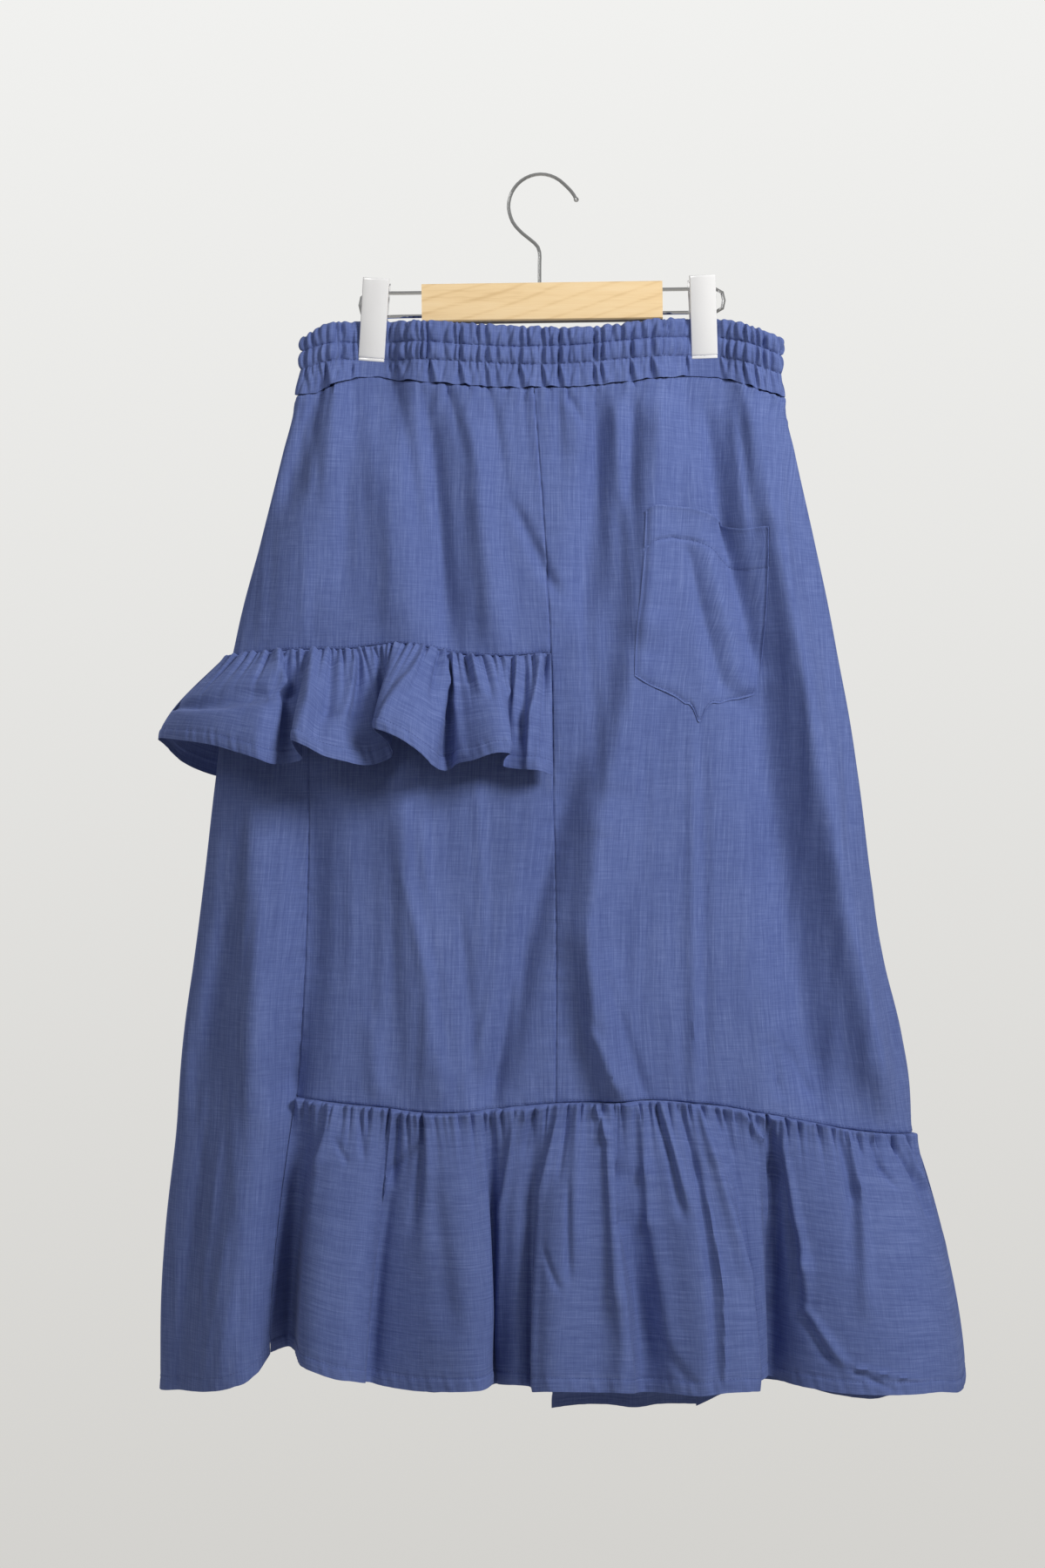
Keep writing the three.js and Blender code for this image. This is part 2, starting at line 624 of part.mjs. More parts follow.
// A ruffle's outer surface, at a place along it in rows and down it from its seam (0) to its hem (1).
const PUCKER_LIFT = 1.3; // the gathers right under the seam
const PUCKER_PITCH = 14;
const PUCKER_START = 0.05;
function ruffleSurface({ rounds, rows, seamZ, standOff, edge }) {
  const hem = ["x", "y", "z"].map((name) => rows.map((row) => row[name]));
  const seams = rows.map((row) => row.seam);
  const plain = (along, down) => {
    const round = through(rounds, along);
    let z = seamZ(0, round);
    for (let i = 0; i < 4; i += 1) z = seamZ(skirtPoint(round, z).x, round);
    const normal = skirtNormal(round, z).setZ(0).normalize();
    const seam = skirtPoint(round, z).addScaledVector(normal, standOff);
    const foot = hem.map((values) => through(values, along));
    const out = flare(down);
    const phase = (2 * Math.PI * through(seams, along)) / PUCKER_PITCH + 1.5 * Math.sin(along);
    const sideFade = smooth(0, 0.06, Math.abs(round - Math.round(round)));
    const lift = PUCKER_LIFT * Math.sin(phase) * sideFade * smooth(0, PUCKER_START, down) * (1 - down) ** 3;
    return new THREE.Vector3(
      mix(seam.x, foot[0], out),
      mix(seam.y, foot[1], out),
      mix(seam.z, foot[2], down),
    ).addScaledVector(normal, lift);
  };
  return (along, down) => edge(plain(along, down), along, down, plain);
}

const RUFFLE_ROWS_DOWN = [0, 0.05, 0.14, 0.28, 0.46, 0.68, 1];
function ruffle(name, surface, start, end, columns, rowsDown) {
  const rows = rowsDown.length - 1;
  const cell = (a, b) => [mix(start, end, a), rowsDown[Math.round(b * rows)]];
  const outer = grid(columns, rows, (a, b) => surface(...cell(a, b)));
  const inner = grid(columns, rows, (a, b) => {
    const [along, down] = cell(a, b);
    const safe = [clamp(along, start + 0.05, end - 0.05), clamp(down, 0.02, 0.98)];
    const normal = normalOf(surface, ...safe, 0.04, -0.015);
    if (b === 0) normal.setZ(0).normalize();
    if (a === 0 || a === 1) normal[Math.abs(normal.x) < Math.abs(normal.y) ? "setX" : "setY"](0).normalize();
    return surface(along, down).addScaledVector(normal, -CLOTH);
  });
  add(name, wall(outer, inner), chambray);
}

// The hem ruffle: its left end keeps to the plain side panel's edge, as the two are sewn together.
const hemRows = [...HEM_RUFFLE_FRONT, ...HEM_RUFFLE_BACK];
const sideSeam = HEM_RUFFLE_FRONT.length - 1;
const EDGE_ROWS = 3;
const hemSurface = ruffleSurface({
  rows: hemRows,
  rounds: hemRows.map((row, i) =>
    i === sideSeam ? 1 : roundAt(row.seam, (i < sideSeam ? HEM_SEAM : HEM_SEAM_BACK)(row.seam), i < sideSeam),
  ),
  seamZ: (x, round) => (round <= 1 ? HEM_SEAM : HEM_SEAM_BACK)(x) - SEAM_GAP / 2,
  standOff: 0,
  edge: (point, along, down, plain) => {
    if (along > EDGE_ROWS) return point;
    const end = plain(0, down);
    const sewn = skirtPoint(roundAt(sideSeamX(end.z), end.z), end.z).setZ(end.z);
    sewn.x += SEAM_GAP * 1.5;
    return point.addScaledVector(sewn.sub(end), (1 - along / EDGE_ROWS) ** 2);
  },
});
const SIDE_GAP_ROWS = 0.02; // half of the side seam's gap, counted in rows
ruffle("hem_ruffle_front", hemSurface, 0, sideSeam - SIDE_GAP_ROWS, 92, RUFFLE_ROWS_DOWN);
ruffle("hem_ruffle_back", hemSurface, sideSeam + SIDE_GAP_ROWS, hemRows.length - 1, 40, RUFFLE_ROWS_DOWN);

// The hip ruffle hangs over the panels below its seam, so its cloth keeps clear of theirs.
const hipRows = [...HIP_RUFFLE_BACK, ...HIP_RUFFLE_FRONT];
const HIP_CLEARANCE = CLOTH + 1.4;
const leftEdge = HIP_RUFFLE_BACK.length;
const hipSurface = ruffleSurface({
  rows: hipRows,
  rounds: hipRows.map((row, i) => {
    if (i === leftEdge) return 0;
    return i < leftEdge ? roundAt(row.seam, HIP_BACK_Z, false) - 2 : roundAt(row.seam, HIP_SEAM(row.seam));
  }),
  seamZ: (x, round) => mix(HIP_BACK_Z, HIP_SEAM(x), smooth(-0.02, 0.04, round)),
  standOff: HIP_CLEARANCE,
  edge: (point) => {
    const isFront = point.y < 0;
    const skin = skirtPoint(roundAt(point.x, point.z, isFront), point.z);
    const aside = Math.max(outlineLeft(point.z) - point.x, 0);
    const least = skin.y + (isFront ? -1 : 1) * HIP_CLEARANCE * smooth(4, 0, aside);
    if (aside < 4) point.y = isFront ? Math.min(point.y, least) : Math.max(point.y, least);
    return point;
  },
});
const HIP_ROWS_DOWN = [0, 0.07, 0.25, 0.5, 0.75, 1];
ruffle("hip_ruffle_back", hipSurface, 0, leftEdge - SIDE_GAP_ROWS, 28, HIP_ROWS_DOWN);
ruffle("hip_ruffle_front", hipSurface, leftEdge + SIDE_GAP_ROWS, hipRows.length - 1, 66, HIP_ROWS_DOWN);

// Meshes to manifold solids and back, for cuts and joins
function solidOf(geometry, matrix = new THREE.Matrix4()) {
  const bare = new THREE.BufferGeometry().setAttribute("position", geometry.getAttribute("position").clone());
  if (geometry.index) bare.setIndex(geometry.index.clone());
  const merged = mergeVertices(bare.applyMatrix4(matrix), 1e-3);
  return new wasm.Manifold(
    new wasm.Mesh({
      numProp: 3,
      vertProperties: new Float32Array(merged.attributes.position.array),
      triVerts: new Uint32Array(merged.index.array),
    }),
  );
}
function geometryOf(solid) {
  const mesh = solid.getMesh();
  return new THREE.BufferGeometry()
    .setAttribute("position", new THREE.Float32BufferAttribute(mesh.vertProperties, 3))
    .setIndex([...mesh.triVerts]);
}

// The patch pocket: the right front's own points moved out, cut to a five-sided outline.
const POCKET_GAP = 0.4;
const POCKET_CLOTH = 1.0;
const POCKET_OUTLINE = [
  [85, -270],
  [89, -263],
  [126, -262.5],
  [146, -272],
  [183, -276],
  [177, -410],
  [150, -418],
  [128, -429],
  [104, -411],
  [76, -399],
];
const pocketShape = new THREE.Shape(POCKET_OUTLINE.map(([x, z]) => new THREE.Vector2(x, z)));
const pocketCutter = new THREE.ExtrudeGeometry(pocketShape, { depth: 120, bevelEnabled: false });
const underPocket = frontRight.map((column) => column.slice(1, 8));
const pocketSlab = wall(layerOf(underPocket, POCKET_GAP + POCKET_CLOTH), layerOf(underPocket, POCKET_GAP));
const standUp = new THREE.Matrix4().makeRotationX(Math.PI / 2);
add("patch_pocket", geometryOf(solidOf(pocketSlab).intersect(solidOf(pocketCutter, standUp))), chambray);

// The hanger's wooden bar, with blind holes for the hook and the four ends of wire
const BAR = { x: 1, z: -102, length: 193, height: 30.5, depth: 14, tilt: -0.8 };
const WIRE_RADIUS = 1.5;
const LOOP_HEIGHT = 18.8;
const HOLE_CLEARANCE = 0.3;
const SOCKET_DEPTH = 10;
const HOOK_RADIUS = 1.4;
const STEM_X = -1;
const STEM_FOOT = -94;

const bar = new THREE.Group();
bar.position.set(BAR.x, 0, BAR.z);
bar.rotation.y = THREE.MathUtils.degToRad(BAR.tilt);
part.add(bar);

const WIRE_SIDES = 8;
function drill(radius, length, toMatrix) {
  return solidOf(new THREE.CylinderGeometry(radius, radius, length, 12), toMatrix);
}
const alongX = (x, z) =>
  new THREE.Matrix4().makeTranslation(x, 0, z).multiply(new THREE.Matrix4().makeRotationZ(Math.PI / 2));
const alongZ = (x, z) =>
  new THREE.Matrix4().makeTranslation(x, 0, z).multiply(new THREE.Matrix4().makeRotationX(Math.PI / 2));
const CORNER = 1.2; // the bar's eased edges
const barShape = new THREE.Shape([
  new THREE.Vector2(-BAR.depth / 2 + CORNER, -BAR.height / 2),
  new THREE.Vector2(BAR.depth / 2 - CORNER, -BAR.height / 2),
  new THREE.Vector2(BAR.depth / 2, -BAR.height / 2 + CORNER),
  new THREE.Vector2(BAR.depth / 2, BAR.height / 2 - CORNER),
  new THREE.Vector2(BAR.depth / 2 - CORNER, BAR.height / 2),
  new THREE.Vector2(-BAR.depth / 2 + CORNER, BAR.height / 2),
  new THREE.Vector2(-BAR.depth / 2, BAR.height / 2 - CORNER),
  new THREE.Vector2(-BAR.depth / 2, -BAR.height / 2 + CORNER),
]);
const barBlank = new THREE.ExtrudeGeometry(barShape, { depth: BAR.length, bevelEnabled: false });
const layAlongX = new THREE.Matrix4()
  .makeBasis(new THREE.Vector3(0, 1, 0), new THREE.Vector3(0, 0, 1), new THREE.Vector3(1, 0, 0))
  .setPosition(-BAR.length / 2, 0, 0);
let barSolid = solidOf(barBlank, layAlongX);
for (const side of [-1, 1])
  for (const up of [-1, 1]) {
    const x = side * (BAR.length / 2 - SOCKET_DEPTH / 2 + 1);
    const socket = drill(WIRE_RADIUS + HOLE_CLEARANCE, SOCKET_DEPTH + 2, alongX(x, (up * LOOP_HEIGHT) / 2));
    barSolid = barSolid.subtract(socket);
  }
const stemHole = { top: BAR.height / 2 + 2, foot: STEM_FOOT - BAR.z - 1 };
barSolid = barSolid.subtract(
  drill(
    HOOK_RADIUS + 0.5,
    stemHole.top - stemHole.foot,
    alongZ(STEM_X - BAR.x, (stemHole.top + stemHole.foot) / 2),
  ),
);
add("hanger_bar", geometryOf(barSolid), maple, bar);

// A round wire along a path
function wire(points, radius, steps, sides = WIRE_SIDES) {
  const section = new THREE.Shape(
    Array.from({ length: sides }, (_, i) => {
      const angle = (2 * Math.PI * i) / sides;
      return new THREE.Vector2(radius * Math.cos(angle), radius * Math.sin(angle));
    }),
  );
  const path = new THREE.CatmullRomCurve3(points, false, "centripetal");
  return new THREE.ExtrudeGeometry(section, { steps, extrudePath: path, bevelEnabled: false });
}

// Each end of the bar holds a loop of wire, on which a clip slides. The loop's far corners are round.
const LOOP_REACH = 147.5;
const LOOP_CORNER = 7;
function loopPoints(side) {
  const half = LOOP_HEIGHT / 2;
  const root = side * (BAR.length / 2 - SOCKET_DEPTH + 1);
  const end = side * (LOOP_REACH - WIRE_RADIUS);
  const bend = end - side * LOOP_CORNER;
  const legs = [0, 0.5, 1].map((k) => mix(root, bend, k));
  const corner = (up, k) => {
    const angle = (Math.PI / 2) * k;
    const x = bend + side * LOOP_CORNER * Math.sin(angle);
    return new THREE.Vector3(x, 0, up * (half - LOOP_CORNER + LOOP_CORNER * Math.cos(angle)));
  };
  return [
    ...legs.map((x) => new THREE.Vector3(x, 0, half)),
    ...[1, 2, 3].map((k) => corner(1, k / 3)),
    ...[3, 2, 1].map((k) => corner(-1, k / 3)),
    ...legs.reverse().map((x) => new THREE.Vector3(x, 0, -half)),
  ];
}
add("hanger_loop_left", wire(loopPoints(-1), WIRE_RADIUS, 20), chrome, bar);
add("hanger_loop_right", wire(loopPoints(1), WIRE_RADIUS, 20), chrome, bar);

// The hook: an arc over the rail, open to the right, that swings back under itself to the stem
const ARC_RADIUS = 25.9;
const ARC_CENTRE_Z = HOOK_RADIUS - ARC_RADIUS;
const arcPoint = (degrees) => {
  const angle = THREE.MathUtils.degToRad(degrees);
  const x = ARC_RADIUS * Math.cos(angle);
  return new THREE.Vector3(x, 0, ARC_CENTRE_Z + ARC_RADIUS * Math.sin(angle));
};
const HOOK_TIP = new THREE.Vector3(28.5, 0, -19);
const HOOK_PATH = [
  HOOK_TIP,
  new THREE.Vector3(25.6, 0, -13.8),
  ...[44, 58, 74, 90, 106, 122, 138, 154, 170, 184].map(arcPoint),
  new THREE.Vector3(-22.6, 0, -37),
  new THREE.Vector3(-16, 0, -45),
  new THREE.Vector3(-8.4, 0, -51.2),
  new THREE.Vector3(-2.8, 0, -56.4),
  new THREE.Vector3(STEM_X, 0, -61.5),
  new THREE.Vector3(STEM_X, 0, -72),
  new THREE.Vector3(STEM_X, 0, STEM_FOOT),
];
const HOOK_KNOB = 2.1;
const knob = solidOf(
  new THREE.SphereGeometry(HOOK_KNOB, 10, 8),
  new THREE.Matrix4().makeTranslation(HOOK_TIP.x, HOOK_TIP.y, HOOK_TIP.z),
);
add("hanger_hook", geometryOf(solidOf(wire(HOOK_PATH, HOOK_RADIUS, 38)).add(knob)), chrome);

// A clip: two steel plates that meet at their jaws and spread upwards, with a bent leaf spring between
// them that straddles the wire loop. Each is a section across the hanger, drawn out sideways.
const PLATE = 1.1;
const JAW_Y = HELD_Y + 0.3;
const SPREAD_Y = 11.5;
const LIP = 2.2;
const SPRING = 0.9;
const SPRING_WIDTH = 13;
const plateY = (z) => mix(JAW_Y, SPREAD_Y, (z - CLIP_FOOT) / (CLIP_TOP - CLIP_FOOT));
// A section's corners are [y, z], and width is how far it is drawn out along x.
function drawn(corners, width) {
  const shape = new THREE.Shape(corners.map(([y, z]) => new THREE.Vector2(y, z)));
  const geometry = new THREE.ExtrudeGeometry(shape, { depth: width, bevelEnabled: false });
  const lay = new THREE.Matrix4().makeBasis(
    new THREE.Vector3(0, 1, 0),
    new THREE.Vector3(0, 0, 1),
    new THREE.Vector3(1, 0, 0),
  );
  return geometry.applyMatrix4(lay.setPosition(-width / 2, 0, 0));
}
function plateSection(side) {
  const inside = [CLIP_FOOT, CLIP_TOP].map((z) => [side * plateY(z), z]);
  const outside = [CLIP_TOP, CLIP_FOOT].map((z) => [side * (plateY(z) + PLATE), z]);
  const lip = [
    [side * (JAW_Y + PLATE + 0.5), CLIP_FOOT - 0.2],
    [side * (JAW_Y + PLATE + 0.5), CLIP_FOOT - LIP],
    [side * JAW_Y, CLIP_FOOT - LIP],
  ];
  return [...inside, ...outside, ...lip];
}
// The spring is a strip bent into an arch, up inside the front plate and down inside the back one.
function springSection() {
  const foot = -120;
  const crown = -85.2;
  const shoulder = -93;
  const clear = 0.3;
  const arch = (inset) => {
    const y = (z) => plateY(z) - clear - inset;
    const turn = [0.25, 0.5, 0.75].map((k) => {
      const angle = Math.PI * k;
      return [-y(shoulder) * Math.cos(angle), mix(shoulder, crown - inset, Math.sin(angle))];
    });
    return [[-y(foot), foot], [-y(shoulder), shoulder], ...turn, [y(shoulder), shoulder], [y(foot), foot]];
  };
  return [...arch(0), ...arch(SPRING).reverse()];
}
for (const { name, x, raise, lean } of CLIPS) {
  const jaws = new THREE.Group();
  jaws.position.set(x, 0, CLIP_FOOT + raise);
  jaws.rotation.y = THREE.MathUtils.degToRad(-lean);
  const plates = new THREE.Group();
  plates.position.z = -CLIP_FOOT;
  part.add(jaws.add(plates));
  add(`${name}_front_plate`, drawn(plateSection(-1), CLIP_WIDTH), steel, plates);
  add(`${name}_back_plate`, drawn(plateSection(1), CLIP_WIDTH), steel, plates);
  add(`${name}_spring`, drawn(springSection(), SPRING_WIDTH), chrome, plates);
}

export default part;
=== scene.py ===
import math

import bpy
import numpy as np
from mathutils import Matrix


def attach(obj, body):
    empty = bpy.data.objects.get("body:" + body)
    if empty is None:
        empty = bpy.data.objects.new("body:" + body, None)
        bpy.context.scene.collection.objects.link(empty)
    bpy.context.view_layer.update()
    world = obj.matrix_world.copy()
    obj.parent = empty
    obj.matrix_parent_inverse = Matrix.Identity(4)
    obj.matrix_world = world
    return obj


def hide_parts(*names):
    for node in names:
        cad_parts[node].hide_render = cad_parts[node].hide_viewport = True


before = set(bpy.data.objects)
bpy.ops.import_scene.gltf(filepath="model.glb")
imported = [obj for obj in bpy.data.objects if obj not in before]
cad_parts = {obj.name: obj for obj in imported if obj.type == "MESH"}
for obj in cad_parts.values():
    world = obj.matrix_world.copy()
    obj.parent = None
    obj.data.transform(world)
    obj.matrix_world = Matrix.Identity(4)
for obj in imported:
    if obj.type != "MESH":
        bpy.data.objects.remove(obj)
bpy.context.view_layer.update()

# The view: square on to the front of the skirt, from two metres away, at about the height of its middle.
MM = 0.001
VIEW_X, VIEW_Y, VIEW_Z = -14.7, -2000.0, -488.6
FRAME_HEIGHT = 1260.0  # what the picture takes in at the hanger, top to bottom
SENSOR = 36.0
camera = bpy.data.objects.new("camera", bpy.data.cameras.new("camera"))
camera.data.sensor_width = SENSOR
camera.data.lens = SENSOR * -VIEW_Y / FRAME_HEIGHT
camera.data.clip_end = 30.0
camera.location = (VIEW_X * MM, VIEW_Y * MM, VIEW_Z * MM)
camera.rotation_euler = (math.radians(90), 0, 0)
bpy.context.collection.objects.link(camera)
bpy.context.scene.camera = camera

# The room's light: a pale surround that darkens towards the floor, two lamps above the front, of
# which the right one is the stronger, and a weak one behind. The camera sees the surround at full
# strength as the backdrop, so its fall from pale at the top of the picture to darker at the bottom
# is painted shade.
SURROUND_SHADED_LOW, SURROUND_LIT_HIGH = (0.655, 0.645, 0.62), (0.88, 0.88, 0.865)
SURROUND_LIGHT = 0.27  # share of the surround's brightness that falls on the skirt
world = bpy.data.worlds.new("pale_room")
world.use_nodes = True
sky = world.node_tree.nodes["Background"]
shade, heading, direction, upward, glow, path = (
    world.node_tree.nodes.new("ShaderNode" + kind)
    for kind in ("ValToRGB", "SeparateXYZ", "TexCoord", "MapRange", "MapRange", "LightPath")
)
upward.inputs["From Min"].default_value, upward.inputs["From Max"].default_value = -0.3, 0.3
# The ramp from the low colour to the high one is painted shade on the backdrop that the camera sees.
for stop, colour in zip(shade.color_ramp.elements, (SURROUND_SHADED_LOW, SURROUND_LIT_HIGH)):
    stop.color = (*colour, 1)
glow.inputs["To Min"].default_value, glow.inputs["To Max"].default_value = SURROUND_LIGHT, 1.0
for source, output, target, entry in (
    (direction, "Generated", heading, "Vector"),
    (heading, "Z", upward, "Value"),
    (upward, "Result", shade, "Fac"),
    (shade, "Color", sky, "Color"),
    (path, "Is Camera Ray", glow, "Value"),
    (glow, "Result", sky, "Strength"),
):
    world.node_tree.links.new(source.outputs[output], target.inputs[entry])
bpy.context.scene.world = world
bpy.context.scene.view_settings.view_transform = "Standard"

LAMP_AIM, LAMP_COLOUR = (0.0, 0.0, -450.0), (1.0, 0.99, 0.97)


def soft_light(name, place, size, power, mirrored):
    """A square area light that faces LAMP_AIM, in millimetres and watts. The strong lamps aren't
    mirrored, because they would burn out along the wire."""
    lamp = bpy.data.objects.new(name, bpy.data.lights.new(name, "AREA"))
    lamp.data.size, lamp.data.energy, lamp.data.color = size * MM, power, LAMP_COLOUR
    lamp.visible_glossy = mirrored
    away = np.array(place, float) - np.array(LAMP_AIM)
    lamp.location = [value * MM for value in place]
    flat = math.hypot(away[0], away[1])
    lamp.rotation_euler = (math.atan2(flat, away[2]), 0, math.atan2(away[0], -away[1]))
    bpy.context.collection.objects.link(lamp)


soft_light("lamp_left", (-800, -1300, 450), 600, 5, True)
soft_light("lamp_right", (1150, -1200, 450), 600, 31, False)
soft_light("lamp_behind", (-1150, 1250, 450), 700, 16, False)

# The floor of the room, pale and matt, well below the hem and out of the picture.
FLOOR_Z, FLOOR_HALF, FLOOR_NEAR, FLOOR_FAR = -1500.0, 2600.0, -3200.0, 1100.0
floor_corners = [(x, y) for y in (FLOOR_NEAR, FLOOR_FAR) for x in (-FLOOR_HALF, FLOOR_HALF)]
floor_mesh = bpy.data.meshes.new("floor")
floor_mesh.from_pydata([(x * MM, y * MM, FLOOR_Z * MM) for x, y in floor_corners], [], [(0, 1, 3, 2)])
floor = bpy.data.objects.new("floor", floor_mesh)
bpy.context.collection.objects.link(floor)
floor_paint = bpy.data.materials.new("pale_floor")
floor_paint.use_nodes = True
paint = floor_paint.node_tree.nodes["Principled BSDF"].inputs
paint["Base Color"].default_value, paint["Roughness"].default_value = (0.6, 0.585, 0.56, 1), 0.8
floor_mesh.materials.append(floor_paint)

# Chambray, the one cloth of the whole skirt: a plain cotton weave with indigo threads down the cloth
# and white ones across it. The threads are uneven, so fine pale and dark slubs run both ways.


class Socket:
    """A shader socket that adds Math nodes when it is used in an expression."""

    def __init__(self, shader, link):
        self.shader, self.link = shader, link

    def _math(self, operation, first, second):
        return self.shader.node("Math", {"operation": operation}, {0: first, 1: second})

    def __add__(self, other):
        return self._math("ADD", self, other)

    def __radd__(self, other):
        return self._math("ADD", other, self)

    def __sub__(self, other):
        return self._math("SUBTRACT", self, other)

    def __rsub__(self, other):
        return self._math("SUBTRACT", other, self)

    def __mul__(self, other):
        return self._math("MULTIPLY", self, other)

    def __rmul__(self, other):
        return self._math("MULTIPLY", other, self)

    def __pow__(self, other):
        return self._math("POWER", self, other)


class Shader:
    """A material under construction: one Principled shader and the nodes that feed it."""

    def __init__(self, name, **constants):
        self.material = bpy.data.materials.new(name)
        self.material.use_nodes = True
        self.tree = self.material.node_tree
        self.surface = self.tree.nodes["Principled BSDF"]
        for socket, value in constants.items():
            self.surface.inputs[socket.replace("_", " ")].default_value = value

    def node(self, kind, settings=None, inputs=None, output=0):
        """Adds a node of a kind with its settings, then sets or links its inputs."""
        node = self.tree.nodes.new("ShaderNode" + kind)
        for name, value in (settings or {}).items():
            if name == "stops":
                ramp = node.color_ramp
                while len(ramp.elements) < len(value):
                    ramp.elements.new(0.5)
                for element, (place, colour) in zip(ramp.elements, value):
                    element.position, element.color = place, (*colour, 1)
            else:
                setattr(node, name, value)
        for name, value in (inputs or {}).items():
            if isinstance(value, Socket):
                self.tree.links.new(value.link, node.inputs[name])
            else:
                node.inputs[name].default_value = value
        return Socket(self, node.outputs[output])

    def feed(self, name, value):
        """Links a socket to one of the Principled shader's inputs."""
        self.tree.links.new(value.link, self.surface.inputs[name])

    def stretched(self, place, scale):
        """A place with each of its axes multiplied by its own number."""
        return self.node("VectorMath", {"operation": "MULTIPLY"}, {0: place, 1: scale})

    def noise(self, place, scale, detail=2.0, roughness=0.5):
        """Cloudy noise from 0 to 1, with its scale in waves to the unit of place."""
        inputs = {"Vector": place, "Scale": scale, "Detail": detail, "Roughness": roughness}
        return self.node("TexNoise", {"normalize": True}, inputs)


# Thread and slub are noise drawn out along the cloth and across it, the dye varies by a broad noise,
# and a ramp turns their sum to blue. Threads and a soft crumple make one bump.
CLOTH_DEEP = (0.076, 0.107, 0.285)
CLOTH_MIDDLE = (0.105, 0.146, 0.350)
CLOTH_PALE = (0.150, 0.200, 0.435)
chambray = Shader(
    "chambray", Roughness=0.82, Sheen_Weight=0.12, Sheen_Roughness=0.4,
    Sheen_Tint=(0.62, 0.7, 0.95, 1), Specular_IOR_Level=0.3,
)
on_cut = chambray.node("UVMap", {"uv_map": "cut"})
warp, weft, streak, slub = (
    chambray.noise(chambray.stretched(on_cut, (across, along, 1)), 1.0, 2.0, 0.6)
    for across, along in ((1500, 60), (60, 1500), (620, 14), (22, 800))
)
dye = chambray.noise(on_cut, 14.0, 3.0)
crumple = chambray.noise(on_cut, 70.0, 3.0, 0.55)
threads = warp * 0.36 + weft * 0.30 + streak * 0.38 + slub * 0.20 + dye * 0.14
blues = {"stops": [(0.54, CLOTH_DEEP), (0.69, CLOTH_MIDDLE), (0.84, CLOTH_PALE)]}
chambray.feed("Base Color", chambray.node("ValToRGB", blues, {"Fac": threads}))
weave = warp * 0.16 + weft * 0.16 + streak * 0.06 + crumple * 1.1
chambray.feed("Normal", chambray.node("Bump", {}, {"Height": weave, "Strength": 0.5, "Distance": 0.001}))

# How the whole skirt hangs: a flattened tube between two side edges, pinched at the two clips. Folds
# stand out of it or sink into it, from the gathers of the waistband down to the hem. Millimetres.


def table(columns, *rows):
    """A short table as named columns of numbers."""
    return dict(zip(columns.split(), np.array(rows, float).T))


def mix(a, b, share):
    """The straight blend from a to b."""
    return a + (b - a) * share


def smooth(low, high, x):
    """3k^2 - 2k^3, where k runs from 0 at low to 1 at high."""
    k = np.clip((x - low) / (high - low), 0, 1)
    return k * k * (3 - 2 * k)


def curve(rows, key, value):
    """A smooth curve of one column against another: between two rows, the two straight lines that
    leave them at their slopes, blended by 3k^2 - 2k^3. It is level past the ends."""
    order = np.argsort(rows[key])
    x, y = rows[key][order], rows[value][order]
    step = np.diff(y) / np.diff(x)
    share = (x[1:-1] - x[:-2]) / (x[2:] - x[:-2])
    slope = np.concatenate([step[:1], mix(step[:-1], step[1:], share), step[-1:]])

    def along(place):
        place = np.clip(place, x[0], x[-1])
        i = np.clip(np.searchsorted(x, place, side="right") - 1, 0, len(x) - 2)
        width = x[i + 1] - x[i]
        k = (place - x[i]) / width
        a = y[i] + k * width * slope[i]
        b = y[i + 1] - (1 - k) * width * slope[i + 1]
        return mix(a, b, k * k * (3 - 2 * k))

    return along


def course(columns, *rows):
    """The smooth curve of a table's second column against its first."""
    return curve(table(columns, *rows), *columns.split())


